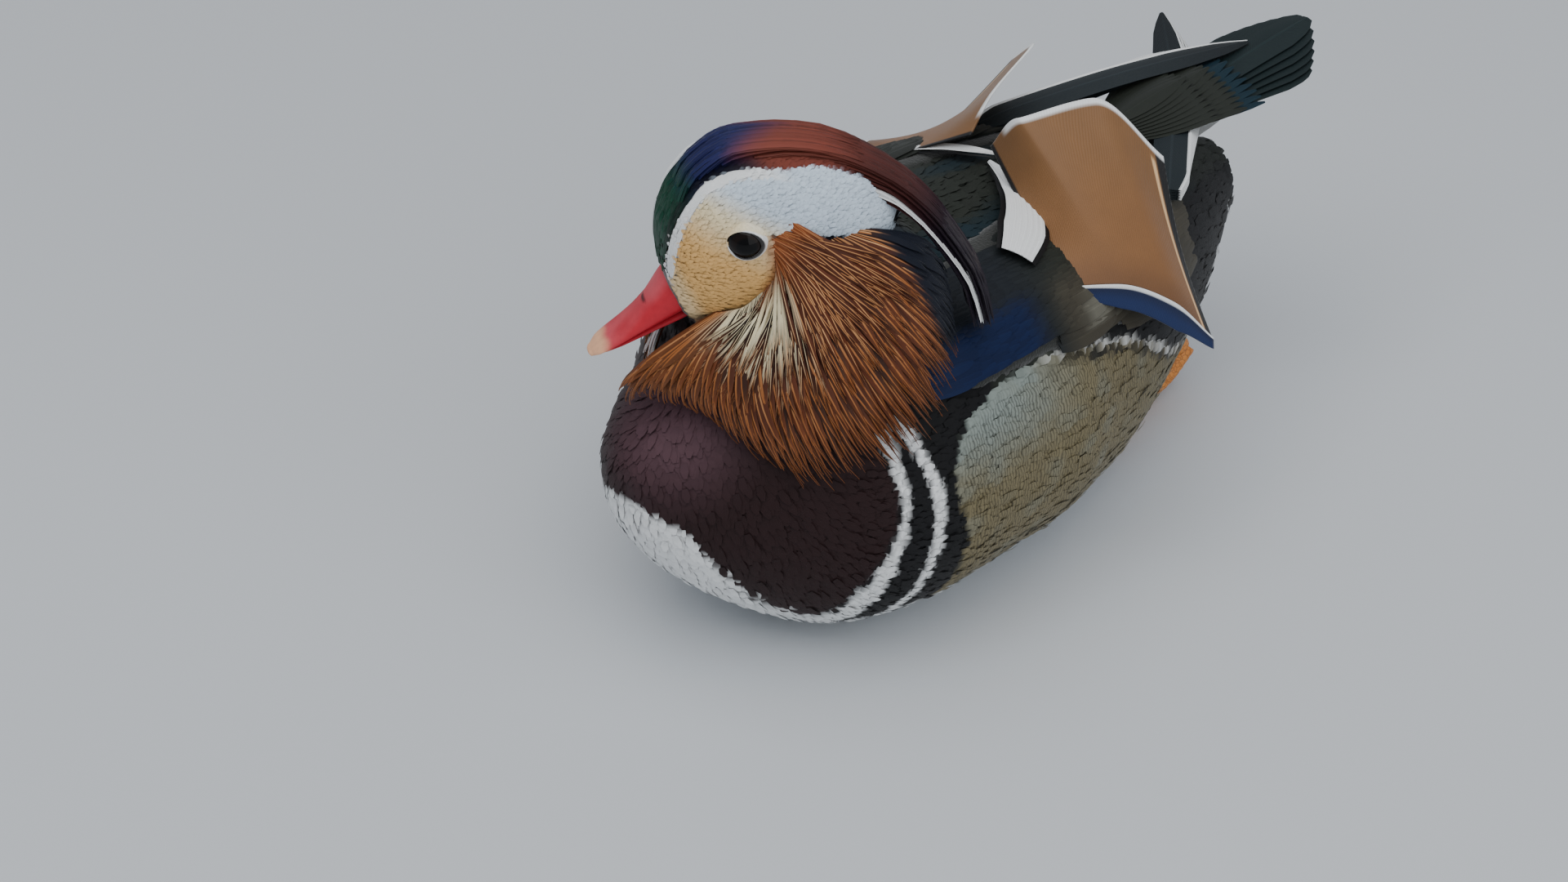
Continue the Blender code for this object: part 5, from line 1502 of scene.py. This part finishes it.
def eyeball(name, side):
    """A sphere read by its fall from the pole and its turn about it; the front bulges a little."""
    centre, look, over, ahead = eye_axes(side)
    fall = np.linspace(0.05, math.pi - 0.05, 40)[:, None, None]
    turn = np.linspace(0, 2 * math.pi, 48, endpoint=False)[None, :, None]
    radius = EYE_BALL + 0.2 * np.exp(-(fall / 0.5) ** 2)
    sideways = np.cos(turn) * over + np.sin(turn) * ahead
    rings = centre + radius * (np.cos(fall) * look + np.sin(fall) * sideways)
    ball = merged(loft(name, rings, centre + (EYE_BALL + 0.2) * look, centre - EYE_BALL * look))
    points, _ = corners_of(ball)
    angle = np.arccos(np.clip(unit(points - centre) @ look, -1, 1))
    iris = lay(seen(4, 4, 5, 0), seen(20, 12, 9, 0), fade(angle, 0.42, 0.5))
    tint(ball, "tint", lay(iris, seen(8, 6, 6, 0), fade(angle, 0.72, 0.85)))
    return ball


def lids(name, side):
    """A shell on the ball from an almond opening outwards. Each point lies at a way across from the
    middle of the eye; the shell's height there is that of a sphere around the ball."""
    centre, look, over, ahead = eye_axes(side)
    turn = np.linspace(0, 2 * math.pi, 120, endpoint=False)[:, None]
    part = np.linspace(0, 1, 12)[None, :]
    high = ALMOND_HIGH * (1 - 0.15 * np.cos(turn) ** 2)
    almond = np.stack([np.cos(turn) * ALMOND_LONG, np.sin(turn) * high], -1)
    cosine, sine = math.cos(ALMOND_TILT), math.sin(ALMOND_TILT)
    start = almond @ np.array([[cosine, sine], [-sine, cosine]])
    rim = unit(start) * LID_RIM
    flat = blend(start + ALMOND_SHIFT, rim, part[..., None])
    away = np.linalg.norm(flat, axis=-1)
    radius = EYE_BALL + LID_THICK + 0.1 * np.sin(part * math.pi) - 0.8 * part ** 3
    outer_rise = np.sqrt(np.maximum(radius ** 2 - away ** 2, 0.3))
    inner_rise = np.sqrt(np.maximum((EYE_BALL + 0.05) ** 2 - away ** 2, 0.1))
    across = flat[..., :1] * ahead + flat[..., 1:] * over
    outer, inner = (centre + across + rise[..., None] * look for rise in (outer_rise, inner_rise))
    ring = np.concatenate([outer, inner[:, ::-1]], axis=1)
    count, sides = ring.shape[:2]
    index = np.arange(count * sides).reshape(count, sides)
    after, beside = np.roll(index, -1, 0), np.roll(index, -1, 1)
    faces = np.stack([index, beside, np.roll(after, -1, 1), after], -1).reshape(-1, 4)
    width = away - np.linalg.norm(start, axis=-1)
    low = fade(-flat[..., 1] / away, -0.5, 0.6)
    tone = lay(BLACK, WHITE, fade(width, 0.25, 0.45))
    tone = lay(tone, plumage(outer), fade(width, 0.5 + low, 0.9 + LID_REACH * low))
    shell = put_mesh(name, ring.reshape(-1, 3), faces)
    tint(shell, "tint", np.concatenate([tone, tone[:, ::-1]], axis=1))
    return merged(shell)


def wet_finish():
    """The mesh's colour under a clear wet surface."""
    made, shader, start = material("wet_eye", Roughness=0.1, IOR=1.33, Specular_IOR_Level=0.35)
    return wire(made, shader, Base_Color=start.layer("tint"))


WET = wet_finish()
for side, hand in SIDES:
    finished(eyeball("eyeball" + hand, side), "eye" + hand, slot="eye", material=WET)
    finished(lids("lids" + hand, side), slot="head_feathers", material=DOWN)


# %% [markdown]
# ## Feet and legs
# The feet are tucked under the rear of the belly: three toes with webs between them, a small hind toe,
# and the shank that runs back to the heel.

# %% Feet and legs
FOOT_JOINT = (11, 47, 2.6)
TOE_ENDS = ((7, 21, 1.0), (15, 16, 1.0), (22, 22, 1.0))
HIND_TOE = ((9.5, 52, 1.6), (8, 56, 0.9))
THIGH = ((8.5, 50, 33), (10.5, 58, 25), (12, 64.5, 16))
SHANK = ((12.2, 67, 15.5), (12, 59, 8.0), (11.5, 49.5, 3.9))


def limb(points, radii, side, steps=30, sides=20, rings=0.0):
    """A round tube whose radius ripples with the scutes; its path and radii are smooth curves."""
    line = path(points, steps) * (side, 1, 1)
    radius = path(np.array(radii)[:, None], steps)
    radius = radius * (1 + rings * np.abs(np.sin(np.linspace(0, steps * 0.9, steps)))[:, None])
    along = unit(np.gradient(line, axis=0))
    beside = unit(np.cross(along, (0.31, 0.12, 0.94)))
    other = np.cross(along, beside)
    turn = np.linspace(0, 2 * math.pi, sides, endpoint=False)[None, :, None]
    tube = line[:, None] + (beside[:, None] * np.cos(turn) + other[:, None] * np.sin(turn)) * radius[:, None]
    tube[..., 2] = np.maximum(tube[..., 2], 0.05)
    return loft("limb", tube, line[0], line[-1])


def foot(name, side):
    """Three toes with claws, a hind toe, and a web whose rim hangs back between the toes."""
    joint = np.array(FOOT_JOINT, float)
    ends = np.array(TOE_ENDS, float)
    pieces = []
    for end in ends:
        bones = [joint, blend(joint, end, 0.5) + (0, 0, 0.2), end]
        pieces.append(limb(bones, (2.6, 2.2, 1.3), side, rings=0.08))
        ahead = unit(end - joint)
        claw = [end, end + ahead * 2.2 + (0, 0, 0.1), end + ahead * 4.0 - (0, 0, 0.6)]
        pieces.append(limb(claw, (1.0, 0.7, 0.15), side))
    pieces.append(limb([joint, *HIND_TOE], (2.0, 1.5, 0.8), side, rings=0.08))
    way = np.linspace(0, 1, 16)[:, None]
    rim = np.concatenate([blend(ends[0], ends[1], way)[:-1], blend(ends[1], ends[2], way)])
    rim[:, 1] += 5 * np.abs(np.sin(np.linspace(0, 2, len(rim)) * math.pi))
    web = joint + (rim[None] - joint) * np.linspace(0.1, 0.96, 14)[:, None, None]
    web[..., 2] = 1.1 + 0.25 * np.sin(np.linspace(0, 24, len(rim)))
    half = np.array([0, 0, 0.4])
    skins = [((web + lift) * (side, 1, 1)).reshape(-1, 3) for lift in (half, -half)]
    pieces.append(put_mesh("web", np.vstack(skins), sheet_faces(*web.shape[:2])))
    return joined(name, pieces)


def leg(name, side):
    """A thigh that comes out of the belly and a shank with scutes."""
    thigh = limb(THIGH, (5.5, 4.6, 3.3), side)
    return joined(name, [thigh, limb(SHANK, (3.1, 2.7, 2.5), side, rings=0.06)])


def scute_finish():
    """Orange skin in small scales: the cells of a Voronoi pattern, darker and lower at their edges."""
    made, shader, start = material("leg_scales", Roughness=0.45)
    place = start.place()
    scale = start.node("ShaderNodeTexVoronoi", {"feature": "DISTANCE_TO_EDGE"},
                       {"Vector": place, "Scale": 700.0})
    colour = place.noise(200.0, 3.0).between(tuple(seen(206, 118, 40)), tuple(seen(226, 150, 70)))
    return wire(made, shader, Base_Color=colour.darker(1 - (1 - scale.fade(0.0, 0.12)) * 0.4),
                Normal=scale.fade(0.0, 0.2).bump(0.4, 0.0004))


SCUTES = scute_finish()
for side, hand in SIDES:
    finished(foot("webbed_foot" + hand, side), "foot" + hand, slot="leg_scales", material=SCUTES)
    finished(leg("shank" + hand, side), "leg" + hand, slot="leg_scales", material=SCUTES)


# %% [markdown]
# ## Floor, light and camera
# The floor is plain and pale. One large soft light stands above and in front, a weaker one fills from
# the right, and the world gives the rest. The camera looks down at the bird as the photograph does, with
# a long lens. Its place is given, and its three directions are worked out from its two angles.

# %% Floor
FLOOR_REACH = 3000
square = np.array([(-1, -1, 0), (1, -1, 0), (1, 1, 0), (-1, 1, 0)]) * FLOOR_REACH
ground = put_mesh("ground", square, [[0, 1, 2, 3]])
pale, _, _ = material("pale_floor", Roughness=0.7, Base_Color=tuple(seen(206, 210, 214)))
ground.data.materials.append(pale)

# %% Lights


def placed(name, data, place, right, up, away):
    """A lamp or camera at a place, with its own right, up and backward directions."""
    thing = bpy.data.objects.new(name, data)
    bpy.context.scene.collection.objects.link(thing)
    rows = np.stack([right, up, away, place], 1)
    thing.matrix_world = Matrix([*rows.tolist(), [0, 0, 0, 1]])
    return thing


def soft_light(name, power, size, place, aim=(0, -0.03, 0.06)):
    """A square lamp that looks at the bird."""
    lamp = bpy.data.lights.new(name, "AREA")
    lamp.energy, lamp.size = power, size
    away = unit(np.array(place) - aim)
    right = unit(np.cross((0, 0, 1), away))
    return placed(name, lamp, place, right, np.cross(away, right), away)


soft_light("sky_light", 17, 1.6, (0.2, -0.4, 1.5))
soft_light("fill_light", 5, 1.2, (1.2, -0.3, 0.6))
world = bpy.data.worlds.new("studio")
world.use_nodes = True
world.node_tree.nodes["Background"].inputs["Color"].default_value = (0.64, 0.67, 0.72, 1)
world.node_tree.nodes["Background"].inputs["Strength"].default_value = 0.6
bpy.context.scene.world = world

# %% Camera
ELEVATION, HEADING = math.radians(35), math.radians(43)
CAMERA = np.array([788.8, -825.4, 803.3]) * MM
LENS_PIXELS, WIDE_PIXELS, SENSOR = 5655, 1920, 36.0


def photo_camera():
    """The camera's axes: right is level, forward dips by the elevation, and up is square to both."""
    right = np.array([math.sin(HEADING), math.cos(HEADING), 0])
    level = np.array([-math.cos(HEADING), math.sin(HEADING), 0])
    forward = level * math.cos(ELEVATION) - np.array([0, 0, math.sin(ELEVATION)])
    data = bpy.data.cameras.new("camera")
    data.lens, data.sensor_width = LENS_PIXELS / WIDE_PIXELS * SENSOR, SENSOR
    return placed("camera", data, CAMERA, right, np.cross(right, forward), -forward)


bpy.context.scene.camera = photo_camera()
